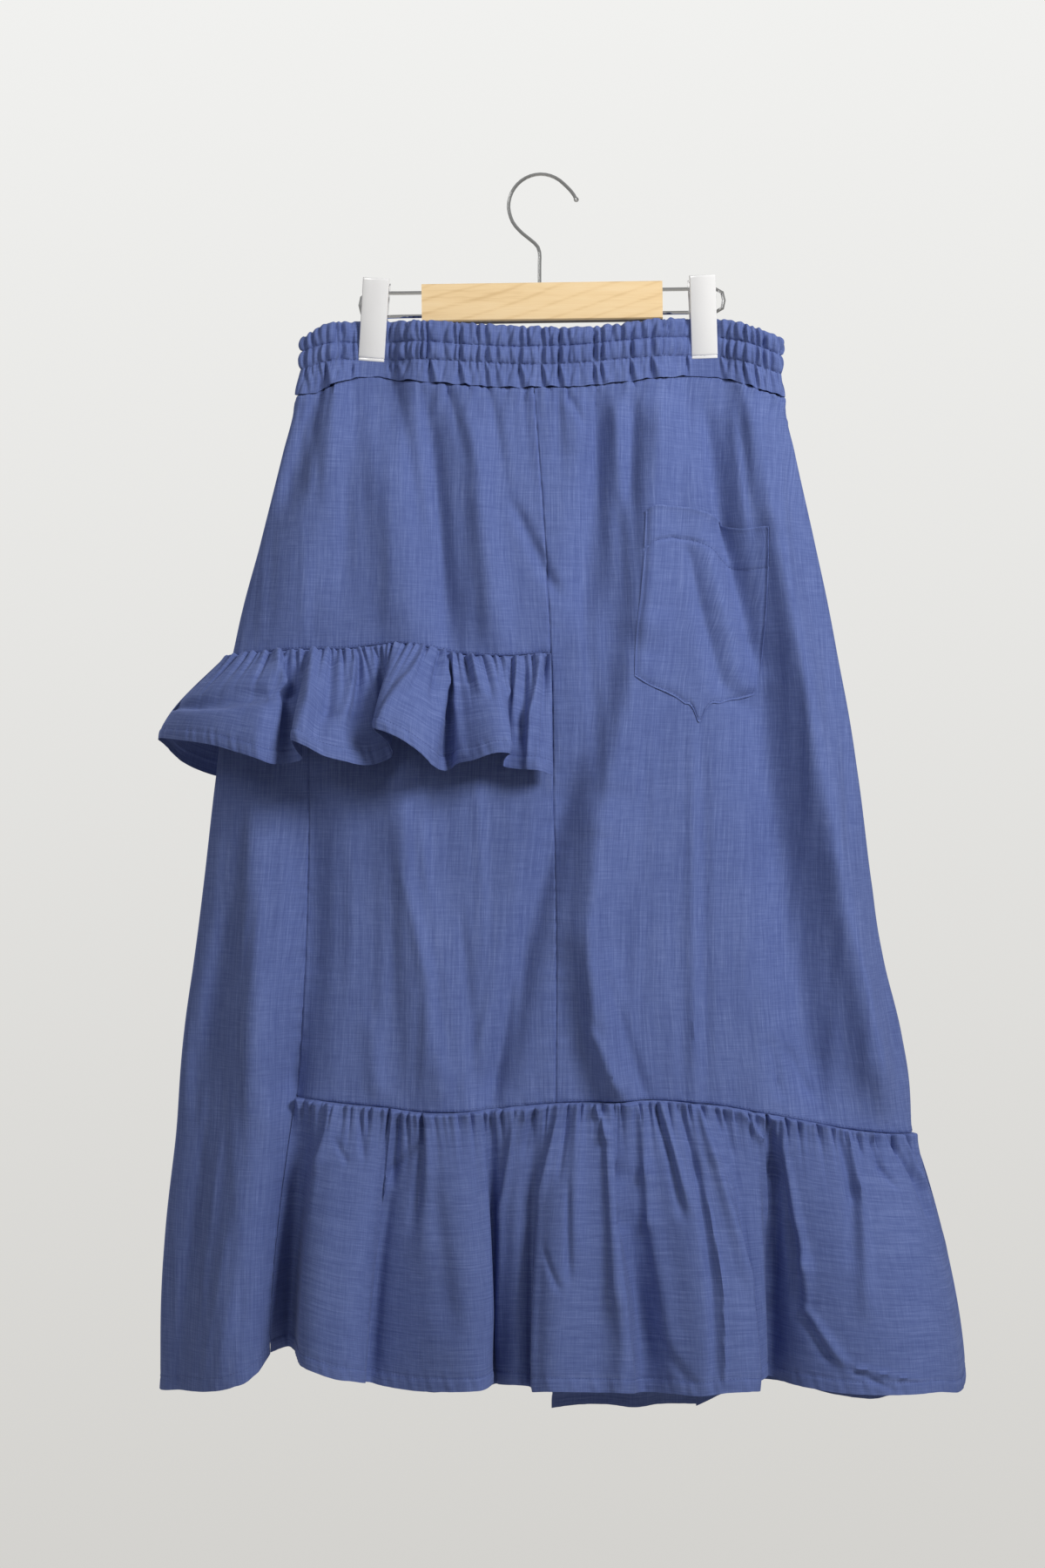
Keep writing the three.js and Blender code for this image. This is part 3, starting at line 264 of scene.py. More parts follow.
OUTLINE = table(
    "z left right front back",
    (-112, -190, 195, 16, 10), (-173, -195, 194, 18, 12), (-222, -207, 204, 23, 14),
    (-294, -225, 220, 30, 18), (-388, -248, 239, 37, 22), (-482, -261, 255, 43, 26),
    (-569, -271, 266, 47, 28), (-632, -279, 276, 50, 31), (-690, -287, 290, 52, 34),
    (-768, -293, 298, 54, 37), (-850, -302, 301, 56, 39), (-975, -306, 303, 58, 41),
)
outline_left, outline_right, outline_front, outline_back = (
    curve(OUTLINE, "z", side) for side in ("left", "right", "front", "back")
)
FOLD_COLUMNS = "x1 z1 x2 z2 reach1 reach2 lift1 lift2"
FRONT_FOLDS = table(
    FOLD_COLUMNS,
    (-172, -160, -203, -262, 8, 12, -10, -8), (-157, -160, -199, -360, 20, 26, 8, 8),
    (-131, -185, -105, -379, 16, 18, 7, 9), (-91, -188, -72, -379, 9, 11, -9, -11),
    (-58, -187, -34, -379, 10, 13, 8, 9), (23, -183, 26, -222, 12, 12, 3, 2),
    (47, -187, 34, -352, 10, 14, -9, -12), (59, -185, 62, -267, 5, 5, 5, 3),
    (74, -185, 70, -267, 5, 6, -5, -3), (96, -188, 88, -284, 14, 16, 11, 13),
    (88, -284, 82, -372, 16, 16, 13, 14), (82, -372, 48, -509, 17, 18, 14, 16),
    (48, -509, 35, -612, 18, 17, 16, 17), (35, -612, 60, -736, 16, 13, 17, 14),
    (134, -187, 143, -284, 9, 11, -13, -15), (143, -284, 168, -393, 12, 18, -15, -14),
    (168, -393, 189, -557, 18, 22, -17, -19), (189, -557, 216, -736, 22, 20, -19, -18),
    (170, -188, 187, -284, 12, 13, 9, 13), (187, -284, 212, -420, 13, 14, 15, 18),
    (212, -420, 238, -564, 15, 18, 18, 21), (238, -564, 272, -736, 18, 16, 21, 18),
    (-226, -509, -229, -731, 14, 14, 8, 9), (-246, -591, -274, -733, 9, 11, -7, -8),
    (-184, -485, -184, -618, 18, 18, -12, -12), (-184, -618, -198, -736, 18, 18, -12, -12),
    (-113, -485, -79, -736, 18, 20, 10, 10), (24, -482, -12, -612, 12, 12, -8, -12),
    (-12, -612, -39, -736, 12, 12, -12, -16), (-214, -600, -250, -985, 22, 27, 7, 27),
    (-194, -690, -209, -985, 9, 13, -7, -24),
)
BACK_FOLDS = table(
    FOLD_COLUMNS,
    (-150, -160, -190, -400, 14, 20, 5, 8), (-70, -160, -86, -380, 12, 20, -6.5, -6.5),
    (30, -160, 40, -520, 14, 22, 6.5, 9.5), (100, -165, 118, -600, 12, 20, -6.5, -9.5),
    (165, -170, 215, -700, 12, 22, 6.5, 11), (-200, -470, -225, -985, 22, 30, 8, 12),
    (-130, -480, -140, -985, 18, 26, -8, -12), (-60, -500, -62, -985, 22, 30, 8, 11),
)
# Finer creases, which lie on the folds: thin ridges and troughs that start at a gather or a seam.
FRONT_CREASES = table(
    FOLD_COLUMNS,
    (-180, -185, -197, -242, 3.0, 4.5, 2.5, 1), (-167, -168, -186, -300, 3.5, 6.0, -2.5, -1),
    (-146, -166, -158, -330, 4.0, 8.0, -2.5, -1.5), (-132, -165, -124, -265, 3.0, 5.0, -3, -1),
    (-116, -163, -95, -290, 3.2, 5.5, -3, -1.5), (-75, -170, -50, -260, 3.6, 6.0, -3, -1),
    (-42, -171, -24, -265, 3.0, 5.0, -2.5, -1), (-14, -172, -8, -250, 3.0, 5.0, -2, -1),
    (14, -172, 16, -240, 3.0, 5.0, -2, -1), (42, -169, 49, -330, 3.2, 6.0, -2.5, -1.5),
    (118, -162, 122, -240, 3.2, 5.0, -2.5, -1), (136, -163, 142, -262, 3.0, 5.0, 2, 1),
    (162, -175, 171, -262, 4.0, 6.0, 2.5, 1.5), (-150, -400, -128, -470, 5.0, 8.0, -2.5, -1),
    (-108, -560, -90, -640, 3.0, 5.0, 2, 2), (-98, -545, -70, -720, 4.0, 7.0, -3, -2.5),
    (-62, -600, -50, -735, 3.5, 6.0, -2.5, -2.5), (-18, -640, -30, -740, 3.0, 5.0, 2.5, 2.5),
    (-44, -650, -70, -742, 4.0, 6.0, -2.5, -2), (45, -610, 38, -690, 3.0, 4.5, 2, 2),
    (38, -680, 52, -735, 3.0, 4.5, 2, 2), (175, -640, 170, -745, 4.0, 6.0, 2, 2),
    (-228, -590, -237, -660, 3.0, 4.0, -2, -1.5), (-98, -191, -85, -311, 4.5, 5, 3, 3),
    (-22, -267, 11, -336, 5, 6, -4, -5), (23, -180, 34, -204, 3.2, 3.5, -3.5, -2),
    (153, -191, 163, -284, 3.2, 3.8, 3, 3), (119, -461, 120, -732, 4, 4, 2.5, 3.5),
    (127, -461, 130, -732, 4, 4, -2, -3), (133, -296, 147, -352, 7, 8, 4, 7),
    (147, -352, 163, -418, 8, 9, 7, 6), (116, -299, 127, -352, 6, 7.5, -3, -6),
    (127, -352, 144, -418, 7.5, 8.5, -6, -5), (37, -598, 39, -680, 4, 5, 2, 4),
    (39, -680, 62, -732, 5, 5, 4, 5), (48, -632, 80, -732, 4, 5.5, -4, -5),
    (180, -690, 188, -735, 3.2, 3.5, -4, -4.5), (194, -697, 212, -735, 3.2, 4, -4, -4.5),
    (-134, -673, -129, -732, 6, 7, 2, 4), (250, -612, 270, -711, 3.2, 3.5, 2.5, 2.5),
    (-252, -760, -279, -985, 3.0, 5.0, 2.5, 3), (-264, -740, -292, -985, 4.0, 6.0, -2.5, -3),
    (-246, -840, -270, -975, 2.6, 4.0, 2.5, 2), (-232, -880, -252, -985, 5.0, 7.0, -2.5, -2),
)
BACK_CREASES = table(
    FOLD_COLUMNS,
    (-165, -165, -180, -290, 3.4, 6.0, -2, -1), (-128, -165, -138, -300, 3.2, 6.0, 2, 1),
    (-98, -165, -104, -270, 3.0, 5.0, -2.5, -1), (-52, -168, -58, -320, 3.2, 6.0, 2.5, 1.5),
    (-24, -168, -28, -260, 3.0, 5.0, -2, -1), (14, -168, 16, -300, 3.2, 6.0, -2.5, -1),
    (58, -166, 66, -330, 3.0, 6.0, 2.5, 1.5), (84, -165, 94, -280, 3.0, 5.0, -2.5, -1),
    (130, -165, 146, -340, 3.4, 6.0, 2.5, 1.5), (150, -168, 172, -300, 3.0, 5.0, -2.5, -1.5),
    (178, -175, 205, -420, 4.0, 7.0, -2.5, -2), (60, -520, 66, -750, 5.0, 8.0, -2.5, -3),
    (150, -500, 168, -750, 5.0, 8.0, 2.5, 3), (205, -540, 236, -755, 5.0, 8.0, -2.5, -3),
    (-30, -520, -36, -980, 6.0, 9.0, -3, -3.5), (-98, -560, -104, -975, 5.0, 8.0, 2.5, 3),
    (-172, -540, -182, -960, 5.0, 9.0, -2.5, -3), (-250, -560, -280, -960, 5.0, 8.0, 2, 3),
)
FOLD_FADE = 0.18
CLIP_PLACES = (-136.0, 131.6)
PINCH_HALF_WIDTH, PINCH_FADE = 14.0, 24.0
JAW_Z = -146.0
PINCH_DEPTH, JAW_LIP = 105.0, 4.0  # how far below the jaws the pinch fades out, and their lips
HELD_Y = 1.8
CROWD = 0.2  # how far the points crowd towards the side edges, where the cloth turns
SIDE_ROUNDING = 0.45  # the folds fade out this near to a side edge, as a sine of the turn


def fold_lift(folds, x, z):
    """The sum of the folds: each a bell across its line, exp(-(off / reach)^2), faded at both ends."""
    lift = np.zeros_like(x)
    for x1, z1, x2, z2, reach1, reach2, lift1, lift2 in zip(*folds.values()):
        down = (z1 - z) / (z1 - z2)
        fade = smooth(-FOLD_FADE, FOLD_FADE, down) * (1 - smooth(1 - FOLD_FADE, 1 + FOLD_FADE, down))
        inside = np.clip(down, 0, 1)
        off = (x - mix(x1, x2, down)) / mix(reach1, reach2, inside)
        lift += fade * mix(lift1, lift2, inside) * np.exp(-off * off)
    return lift


def pinch(x, z):
    """How firmly a clip holds the cloth: 1 in its jaws, 0 away from them."""
    aside = np.minimum(*(np.abs(x - place) for place in CLIP_PLACES))
    held = 1 - smooth(PINCH_HALF_WIDTH, PINCH_HALF_WIDTH + PINCH_FADE, aside)
    return held * smooth(JAW_Z - PINCH_DEPTH, JAW_Z - JAW_LIP, z)


def turn_of(across):
    """The turn, from 0 to pi, of a share of the way across: pi s + CROWD sin(2 pi s)."""
    return np.pi * across + CROWD * np.sin(2 * np.pi * across)


def skirt(around, z, creased=True):
    """A point of the skirt's face. Around runs from the left edge, 0, over the front to the right
    edge, 1, and behind to the left again, 2. Depth is its stand-off times the sine of the turn."""
    lap = np.mod(around, 2)
    is_front = lap <= 1
    turn = turn_of(np.where(is_front, lap, 2 - lap))
    x = mix(outline_left(z), outline_right(z), (1 - np.cos(turn)) / 2)
    roundness = np.sin(turn)
    front, back = fold_lift(FRONT_FOLDS, x, z), fold_lift(BACK_FOLDS, x, z)
    if creased:
        front += fold_lift(FRONT_CREASES, x, z)
        back += fold_lift(BACK_CREASES, x, z)
    folds = np.where(is_front, front, back) * smooth(0, SIDE_ROUNDING, roundness)
    stand = np.where(is_front, outline_front(z), outline_back(z)) * roundness + folds
    depth = mix(stand, np.minimum(stand, HELD_Y), pinch(x, z))
    return np.stack([x, np.where(is_front, -depth, depth), z], axis=-1)


def around_at(x, z, is_front=True):
    """Where around has to be for the front, or the back, to pass through x, by Newton's steps."""
    left, right = outline_left(z), outline_right(z)
    wanted = np.arccos(np.clip(1 - 2 * (x - left) / (right - left), -1, 1))
    across = wanted / np.pi
    for _ in range(8):
        slope = np.pi + CROWD * 2 * np.pi * np.cos(2 * np.pi * across)
        across = np.clip(across - (turn_of(across) - wanted) / slope, 0, 1)
    return across if is_front else 2 - across


def grid_normals(points):
    """Unit normals of a grid of points that runs around the skirt, then down it."""
    normal = np.cross(np.gradient(points, axis=1), np.gradient(points, axis=0))
    return normal / np.maximum(np.linalg.norm(normal, axis=-1, keepdims=True), 1e-9)


def distances(points, axis):
    """Distance along a grid from its first row or column to each point."""
    steps = np.linalg.norm(np.diff(points, axis=axis), axis=-1)
    start = np.zeros_like(np.take(steps, [0], axis=axis))
    return np.concatenate([start, np.cumsum(steps, axis=axis)], axis=axis)


def spaced(length, step, fine=(0.45, 1.0, 1.8, 3.0, 4.8, 7.2)):
    """Shares of a length, about step apart, with closer ones near both ends for seams and hems."""
    count = max(2, round((length - 2 * fine[-1]) / step))
    middle = np.linspace(fine[-1], length - fine[-1], count + 1)
    ends = np.array((0,) + fine[:-1])
    return np.concatenate([ends, middle, length - ends[::-1]]) / length


def cloth(name, points, thickness, cut, material):
    """A closed wall of cloth. Its face is the grid, its inside is the face moved in by thickness, and
    quads join their four edges. Cut is the place of each point on the flat cloth, in metres."""
    inner = points - grid_normals(points) * thickness
    columns, rows = points.shape[:2]
    at = np.arange(columns * rows).reshape(columns, rows)
    back = at + columns * rows
    quads = [
        np.stack([at[:-1, :-1], at[:-1, 1:], at[1:, 1:], at[1:, :-1]], -1).reshape(-1, 4),
        np.stack([back[:-1, :-1], back[1:, :-1], back[1:, 1:], back[:-1, 1:]], -1).reshape(-1, 4),
    ]
    rims = (np.s_[:, 0], np.s_[::-1, -1], np.s_[0, ::-1], np.s_[-1, :])
    for edge, other in ((at[rim], back[rim]) for rim in rims):
        quads.append(np.stack([edge[:-1], edge[1:], other[1:], other[:-1]], -1))
    faces = np.concatenate(quads)
    places = np.concatenate([points.reshape(-1, 3), inner.reshape(-1, 3)]) * MM
    flat = np.concatenate([cut.reshape(-1, 2)] * 2)
    return mesh_piece(name, places, faces, material, flat)


SHARP_DEGREES = 62  # an edge that is bent by more than this stays sharp


def mesh_piece(name, places, faces, material, flat=None):
    """A smooth mesh object from arrays of points, in metres, and of quads, with its flat places."""
    mesh = bpy.data.meshes.new(name)
    mesh.vertices.add(len(places))
    mesh.vertices.foreach_set("co", places.astype(np.float32).ravel())
    mesh.loops.add(faces.size)
    mesh.loops.foreach_set("vertex_index", faces.astype(np.int32).ravel())
    mesh.polygons.add(len(faces))
    sides = faces.shape[1]
    mesh.polygons.foreach_set("loop_start", np.arange(0, faces.size, sides, dtype=np.int32))
    mesh.polygons.foreach_set("loop_total", np.full(len(faces), sides, dtype=np.int32))
    mesh.update(calc_edges=True)
    mesh.polygons.foreach_set("use_smooth", np.ones(len(faces), dtype=bool))
    mesh.set_sharp_from_angle(angle=math.radians(SHARP_DEGREES))
    if flat is not None:
        layer = mesh.uv_layers.new(name="cut")
        layer.data.foreach_set("uv", flat[faces.ravel()].astype(np.float32).ravel())
    mesh.materials.append(material)
    piece = bpy.data.objects.new(name, mesh)
    bpy.context.collection.objects.link(piece)
    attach(piece, "root")
    return piece


def chambray_piece(node, points, thickness, cut):
    """A cloth of chambray that stands for its node, whose CAD part is hidden."""
    piece = cloth(node + "_cloth", points, thickness, cut, chambray.material)
    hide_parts(node)


# The waistband: one long strip of chambray folded over three rows of elastic. Stitching between the
# rows draws it in, so the two upper rows puff out and the lowest hangs in flat gathers over its seam.
WAIST_LINES = table(
    "x top first second seam",
    (-190, -129, -141, -155.5, -175.5), (-171, -119.5, -136, -150, -170),
    (-150, -117.5, -134.5, -148, -162.5), (-110, -117.5, -134.5, -149, -165),
    (-51, -121, -138.5, -152, -170.5), (0, -123.5, -139.5, -154, -171.5),
    (59, -121.5, -135.5, -150, -168), (96, -116.5, -132, -147, -163.5), (133, -115.5, -130, -145, -161),
    (155, -117, -132.5, -148, -164.5), (171, -122, -137, -153, -170.5),
    (193, -130, -144.5, -159.5, -176.5),
)
waist_lines = [curve(WAIST_LINES, "x", name) for name in ("top", "first", "second", "seam")]
waist_seam = waist_lines[3]
# The band's deeper pleats: where each is, how deep it is in the three rows, and its half width.
WAIST_PLEATS = table(
    "x upper middle lower width",
    (-188, 1.6, 1.8, 1.2, 1.3), (-183, 2.6, 1.4, 0.6, 1.1), (-177, 0.8, 1.8, 1.2, 1.2),
    (-172, 1.2, 2.2, 2.6, 1.3), (-164, 2.4, 2.0, 0.4, 1.0), (-160, 2.2, 2.4, 0.6, 1.1),
    (-152, 1.0, 1.6, 1.0, 1.4), (-121, 1.4, 1.0, 1.2, 1.3), (-115.5, 0.6, 1.4, 2.2, 1.8),
    (-107, 2.4, 1.4, 0.3, 1.0), (-103.5, 0.6, 2.2, 0.2, 0.9), (-99.5, 1.6, 2.4, 0.3, 1.0),
    (-95.5, 1.8, 2.6, 0.3, 0.9), (-91, 3.0, 3.0, 0.8, 1.0), (-88.5, 0.4, 0.6, 3.0, 1.4),
    (-79, 1.2, 0.8, 0.2, 1.6), (-69, 2.6, 2.4, 0.3, 1.1), (-65, 2.6, 2.8, 2.4, 1.3),
    (-57, 1.2, 1.0, 0.8, 1.5), (-50.5, 2.2, 2.2, 0.6, 1.0), (-44, 2.0, 2.6, 1.8, 1.2),
    (-36, 0.6, 1.6, 1.2, 1.4), (-27, 1.4, 0.5, 0.3, 1.8), (-17, 1.8, 2.6, 2.8, 1.6),
    (-11, 2.4, 1.2, 0.3, 1.0), (1, 2.8, 3.0, 2.8, 1.2), (6, 2.0, 0.6, 0.2, 1.0),
    (14.5, 2.6, 3.0, 2.6, 1.2), (21.5, 2.0, 2.2, 0.3, 1.1), (31, 0.6, 1.0, 0.6, 1.6),
    (42, 2.6, 2.6, 2.2, 1.2), (48, 2.4, 3.0, 2.4, 1.1), (57, 2.0, 0.8, 0.5, 1.8),
    (64, 2.6, 1.0, 0.4, 1.3), (71.5, 1.2, 2.4, 2.4, 1.2), (80, 2.2, 1.2, 0.4, 1.4),
    (88, 1.6, 2.0, 2.8, 1.6), (96.5, 2.4, 2.4, 0.4, 1.0), (100.5, 2.6, 2.6, 0.5, 1.0),
    (108, 0.8, 1.4, 0.6, 1.4), (117.5, 1.4, 2.0, 2.6, 1.3), (144, 1.6, 1.2, 2.0, 1.4),
    (150, 0.8, 1.6, 0.4, 1.2), (156, 1.6, 2.2, 0.8, 1.2), (163, 2.4, 2.6, 2.8, 1.1),
    (167.5, 2.4, 1.2, 0.4, 1.0), (172, 2.6, 2.6, 2.2, 1.0), (177.5, 2.2, 1.2, 0.6, 1.1),
    (184, 1.0, 2.0, 1.0, 1.2), (190, 1.8, 1.0, 0.5, 1.1),
)
BAND_CLOTH = 1.4
BAND_GRID = (560, 17)  # points along half of the band, and down each of its rows
ROW_PUFF = (3.0, 2.8, 0.9)
ROW_GATHER, ROW_LEAN = (1.2, 1.2, 0.7), (3.0, -2.0, 4.0)
GATHER_PITCH, STITCH_PITCH, PUFF_PITCH, TOP_PITCH, SAG_PITCH = 9.5, 5.2, 34.0, 13.0, 24.0
PLEAT_DEPTH = 1.25
STITCH_PUCKER = 0.7
EDGE_SAG = 0.7
EDGE_PROUD = 1.0
EASED, ROW_HEIGHT = 1.55, 17.0  # the cut's length over the band's own, and a row's height
CLIP_CLEAR = (9.5, 14.5)  # the band lies flat this near to a clip's middle, and is free from here on


# The three waves of a run of gathers: their share of the height, their pitch over the named one, and
# how far the drift pulls them. The drift itself is two slow waves, each a strength and a length.
GATHER_WAVES = table("share stretch pull", (0.5, 1, 1), (0.33, 0.61, 0.6), (0.25, 1.73, -0.5))
DRIFTS = ((2.4, 37), (1.5, 17))
PUFF_SWING, TOP_NOTCH, TOP_WAVE = 0.25, 0.55, 0.6


def gathers(place, seed, pitch, sharp):
    """Uneven gathers along a seam, from -1 to 1: three waves near the pitch whose beats drift, with
    their hollows narrowed by a power, as cloth folds on a thread."""
    rng = np.random.default_rng(seed)
    phases = rng.uniform(0, 2 * np.pi, 6)
    drift = sum(pull * np.sin(place / length + phase) for (pull, length), phase in zip(DRIFTS, phases))
    waves = sum(
        share * np.sin(2 * np.pi * place / (pitch * stretch) + drift * pull + phase)
        for share, stretch, pull, phase in zip(*GATHER_WAVES.values(), phases[2:])
    )
    return 1 - 2 * np.clip(0.5 - waves / 2, 0, 1) ** sharp


def groove(distance, depth=1.1, width=0.7):
    """The cloth's dip into a seam or a stitch: -depth exp(-(distance / width)^2)."""
    return -depth * np.exp(-((distance / width) ** 2))


THREAD_PITCH, THREAD_LENGTH, THREAD_RADIUS = 2.7, 2.0, 0.27
SPINDLE = np.array(
    [(0, 2, 1), (0, 3, 2), (0, 4, 3), (0, 1, 4), (5, 1, 2), (5, 2, 3), (5, 3, 4), (5, 4, 1)]
)
thread = Shader("sewing_thread", Roughness=0.6, Base_Color=(0.06, 0.085, 0.23, 1))


def with_normals(points):
    """A grid of six numbers: each point and its unit normal."""
    return np.concatenate([points, grid_normals(points)], -1)


def at_distance(points, near, at):
    """The line on a grid that keeps a distance from an edge, by straight steps between its rows."""
    rows = with_normals(points)
    rising = near[:, -1:] > near[:, :1]
    after = np.where(rising, near < at, near > at).sum(axis=1).clip(1, near.shape[1] - 1)
    column = np.arange(len(near))
    a, b = near[column, after - 1], near[column, after]
    share = np.clip((at - a) / (b - a), 0, 1)[:, None]
    return mix(rows[column, after - 1], rows[column, after], share)


def stitches(name, lines):
    """Machine stitches along lines of points and normals. Each is a spindle of thread, whose two tips
    dip into the cloth."""
    spindles = []
    for line in lines:
        run = distances(line[:, None, :3], 0)[:, 0]
        middle = np.arange(THREAD_PITCH / 2, run[-1], THREAD_PITCH)
        back, here, ahead = (
            np.stack([np.interp(middle + shift, run, column) for column in line.T], -1)
            for shift in (-THREAD_LENGTH / 2, 0, THREAD_LENGTH / 2)
        )
        up = here[:, 3:] * THREAD_RADIUS
        side = np.cross(up, ahead[:, :3] - back[:, :3])
        side *= THREAD_RADIUS / np.linalg.norm(side, axis=-1, keepdims=True)
        centre = here[:, :3] + up * 0.6
        ring = [centre + side, centre + up, centre - side, centre - up]
        spindles.append(np.stack([back[:, :3] - up * 0.4, *ring, ahead[:, :3] - up * 0.4], 1))
    places = np.concatenate(spindles)
    faces = SPINDLE + 6 * np.arange(len(places))[:, None, None]
    piece = mesh_piece(name, places.reshape(-1, 3) * MM, faces.reshape(-1, 3), thread.material)


waist_thread = []


def waistband_half(name, start, end, seed):
    """Half of the waistband. A row stands out by its puff times sin(pi v)^0.6, and each pleat cuts a
    bell into it, with a fold of cloth beside the bell. Fine gathers bunch at the stitching."""
    columns, per_row = BAND_GRID
    around, down = np.meshgrid(
        np.linspace(start, end, columns), np.linspace(0, 3, 3 * per_row + 1), indexing="ij"
    )
    row = np.clip(np.floor(down), 0, 2).astype(int)
    v = down - row
    z = np.full_like(around, JAW_Z)
    for _ in range(5):
        x = skirt(around, z, creased=False)[..., 0]
        lines = np.stack([line(x) for line in waist_lines])
        upper, lower = (np.take_along_axis(lines, row[None] + n, 0)[0] for n in (0, 1))
        z = mix(upper, lower, v)
    points = skirt(around, z, creased=False)
    along = distances(points, 0)[:, :1] * np.ones_like(x)
    aside = np.minimum(*(np.abs(x - place) for place in CLIP_PLACES))
    free = smooth(*CLIP_CLEAR, aside)
    swell = np.sin(np.pi * np.clip(v, 0, 1)) ** 0.6
    swell = np.where((row == 2) & (v > 0.5), mix(1.0, swell, 0.3), swell)
    puff, gather, lean = (np.array(values)[row] for values in (ROW_PUFF, ROW_GATHER, ROW_LEAN))
    lean *= v - 0.5
    lift = puff * swell * (1 + PUFF_SWING * gathers(along, seed + 4, PUFF_PITCH, 1.0))
    lift += gather * gathers(along + lean, seed, GATHER_PITCH, 2.2) * (0.35 + 0.65 * swell)
    to_stitch = np.minimum(np.abs(down - 1), np.abs(down - 2))
    bunched = gathers(along + 20 * row, seed + 7, STITCH_PITCH, 1.6)
    lift += STITCH_PUCKER * bunched * np.exp(-to_stitch * 3.2)
    sign = 1 if start == 0 else -1
    for centre, upper, middle, lower, width in zip(*WAIST_PLEATS.values()):
        depth = np.array([upper, middle, lower])[row]
        widened = width * np.where(row == 2, 0.5 + 1.5 * v, 1 + 0.4 * swell)
        off = (x * sign - centre - lean * 0.35) / widened
        bell = 0.45 * np.exp(-(((off - 2.1) / 1.3) ** 2)) - np.exp(-(off**2))
        lift += PLEAT_DEPTH * depth * (0.3 + 0.7 * swell) * bell
    lift += EDGE_PROUD * smooth(2.3, 2.9, down)
    points = points + grid_normals(points) * (lift * free)[..., None]
    notch = sum(
        groove(x * sign - centre, TOP_NOTCH * upper, 1.6)
        for centre, upper in zip(WAIST_PLEATS["x"], WAIST_PLEATS["upper"])
    )
    notch += TOP_WAVE * gathers(along, seed + 9, TOP_PITCH, 1.0)
    points[..., 2] += notch * np.clip(1 - down * 2, 0, 1) * free
    sag = EDGE_SAG * (1 + gathers(along, seed + 30, SAG_PITCH, 1.2))
    points[..., 2] -= smooth(2.55, 3.0, down) * sag
    waist_thread.extend(with_normals(points)[:, row] for row in (per_row, 2 * per_row))
    cut = np.stack([along * EASED, -down * ROW_HEIGHT], -1) * MM
    chambray_piece(name, points, BAND_CLOTH, cut)


waistband_half("waistband_front", 0, 1, 3)
waistband_half("waistband_back", 1, 2, 5)
stitches("waistband_stitching", waist_thread)

# The panels of the skirt, flat pieces of chambray sewn edge to edge. The left half of the front is cut
# across at the hip for a ruffle, and its lower part is a side panel with its own hem and a middle
# panel. The right half is one piece. The back is cut the same way, without the side panel's seam.
CENTRE_FRONT = course(
    "z x", (-160, -6), (-208, -3), (-278, 2), (-348, 6), (-480, 9.5), (-560, 11), (-780, 11)
)
CENTRE_BACK_X = 8.0
HIP_SEAM = course(
    "x z", (-248, -387), (-208, -383), (-159, -382), (-94, -380), (-66, -385.5), (8, -385)
)
HEM_SEAM = course(
    "x z",
    (-194, -736), (-127, -742), (-71, -746), (-20, -741), (55, -737.5),
    (122, -739), (171, -747), (216, -756), (258, -764), (298, -768.5),
)
HEM_SEAM_BACK = course("x z", (8, -760), (160, -762), (298, -768.5))
SIDE_HEM = course(
    "x z",
    (-306, -974), (-280, -969), (-257, -965), (-240, -960), (-227, -954), (-219, -946), (-214, -938),
)
BACK_HEM = course(
    "x z",
    (-306, -974), (-280, -962), (-240, -950), (-200, -946), (-170, -950),
    (-130, -966), (-93, -987), (-45, -975), (8, -984),
)
HIP_BACK_Z = -388.0
SIDE_SEAM_TOP = course(
    "z x", (-375, -182), (-478, -184.5), (-570, -185.5), (-657, -188.5), (-736, -194)
)
RUFFLE_EASE = 1.6
SIDE_SEAM_X, SIDE_FOOT_X, SIDE_FOOT_Z = -194.0, -214.0, -938.0
CLOTH = 0.55
SETTLED, SETTLED_PITCHES = 0.8, (21.0, 34.0)
BROAD_PITCH, NARROW_PITCH, NARROW_REACH = 14.0, 8.5, 15.0
GATHERED = (1.8, 28.0)  # height of the gathers under the waistband, and how far down they reach
PUCKERS = {"left": (15.0, 0.7), "right": (15.0, 0.7), "top": (9.0, 0.8), "foot": (9.0, 0.9)}
PUCKER_REACH = 7.0
HEM_DEPTH, HEM_DOUBLE = 11.0, 0.35
HEM_WAVE, HEM_WAVE_PITCH = 0.5, 13.0
TOPSTITCH = 2.2


def flare(down):
    """How far a ruffle has swung out from its seam to its hem: 1 - (1 - down)^1.6."""
    return 1 - (1 - np.clip(down, 0, 1)) ** RUFFLE_EASE


def side_seam_x(z):
    """The seam between the side panel and its neighbours: the middle panel, then the hem ruffle."""
    top = float(HEM_SEAM(SIDE_SEAM_X))
    below = mix(SIDE_SEAM_X, SIDE_FOOT_X, flare((top - z) / (top - SIDE_FOOT_Z)))
    return np.where(z >= top, SIDE_SEAM_TOP(z), below)


def panel_grid(start, end, top, foot, width, height, step):
    """Points of a panel between two lines that run down it and two that run across it. A point's
    height depends on the lines at its own x, so the two are worked out in turn until they agree."""
    a, b = np.meshgrid(spaced(width, step), spaced(height, step), indexing="ij")
    z = mix(float(top(0.0)), float(foot(0.0)), b)
    for _ in range(7):
        around = mix(start(z), end(z), a)
        x = skirt(around, z, creased=False)[..., 0]
        z = mix(top(x), foot(x), b)
    return skirt(around, z)


def edge_distances(points):
    """Distances from a grid's first and last columns, then from its first and last rows."""
    across, down = distances(points, 0), distances(points, 1)
    return across, across[-1:] - across, down, down[:, -1:] - down


def puckers(distance, along, seed, pitch, height):
    """Small waves along a seam, where its thread has drawn the cloth in a little."""
    waves = height * gathers(along, seed, pitch, 1.0)
    return waves * np.exp(-distance / PUCKER_REACH) * smooth(0, 1.5, distance)


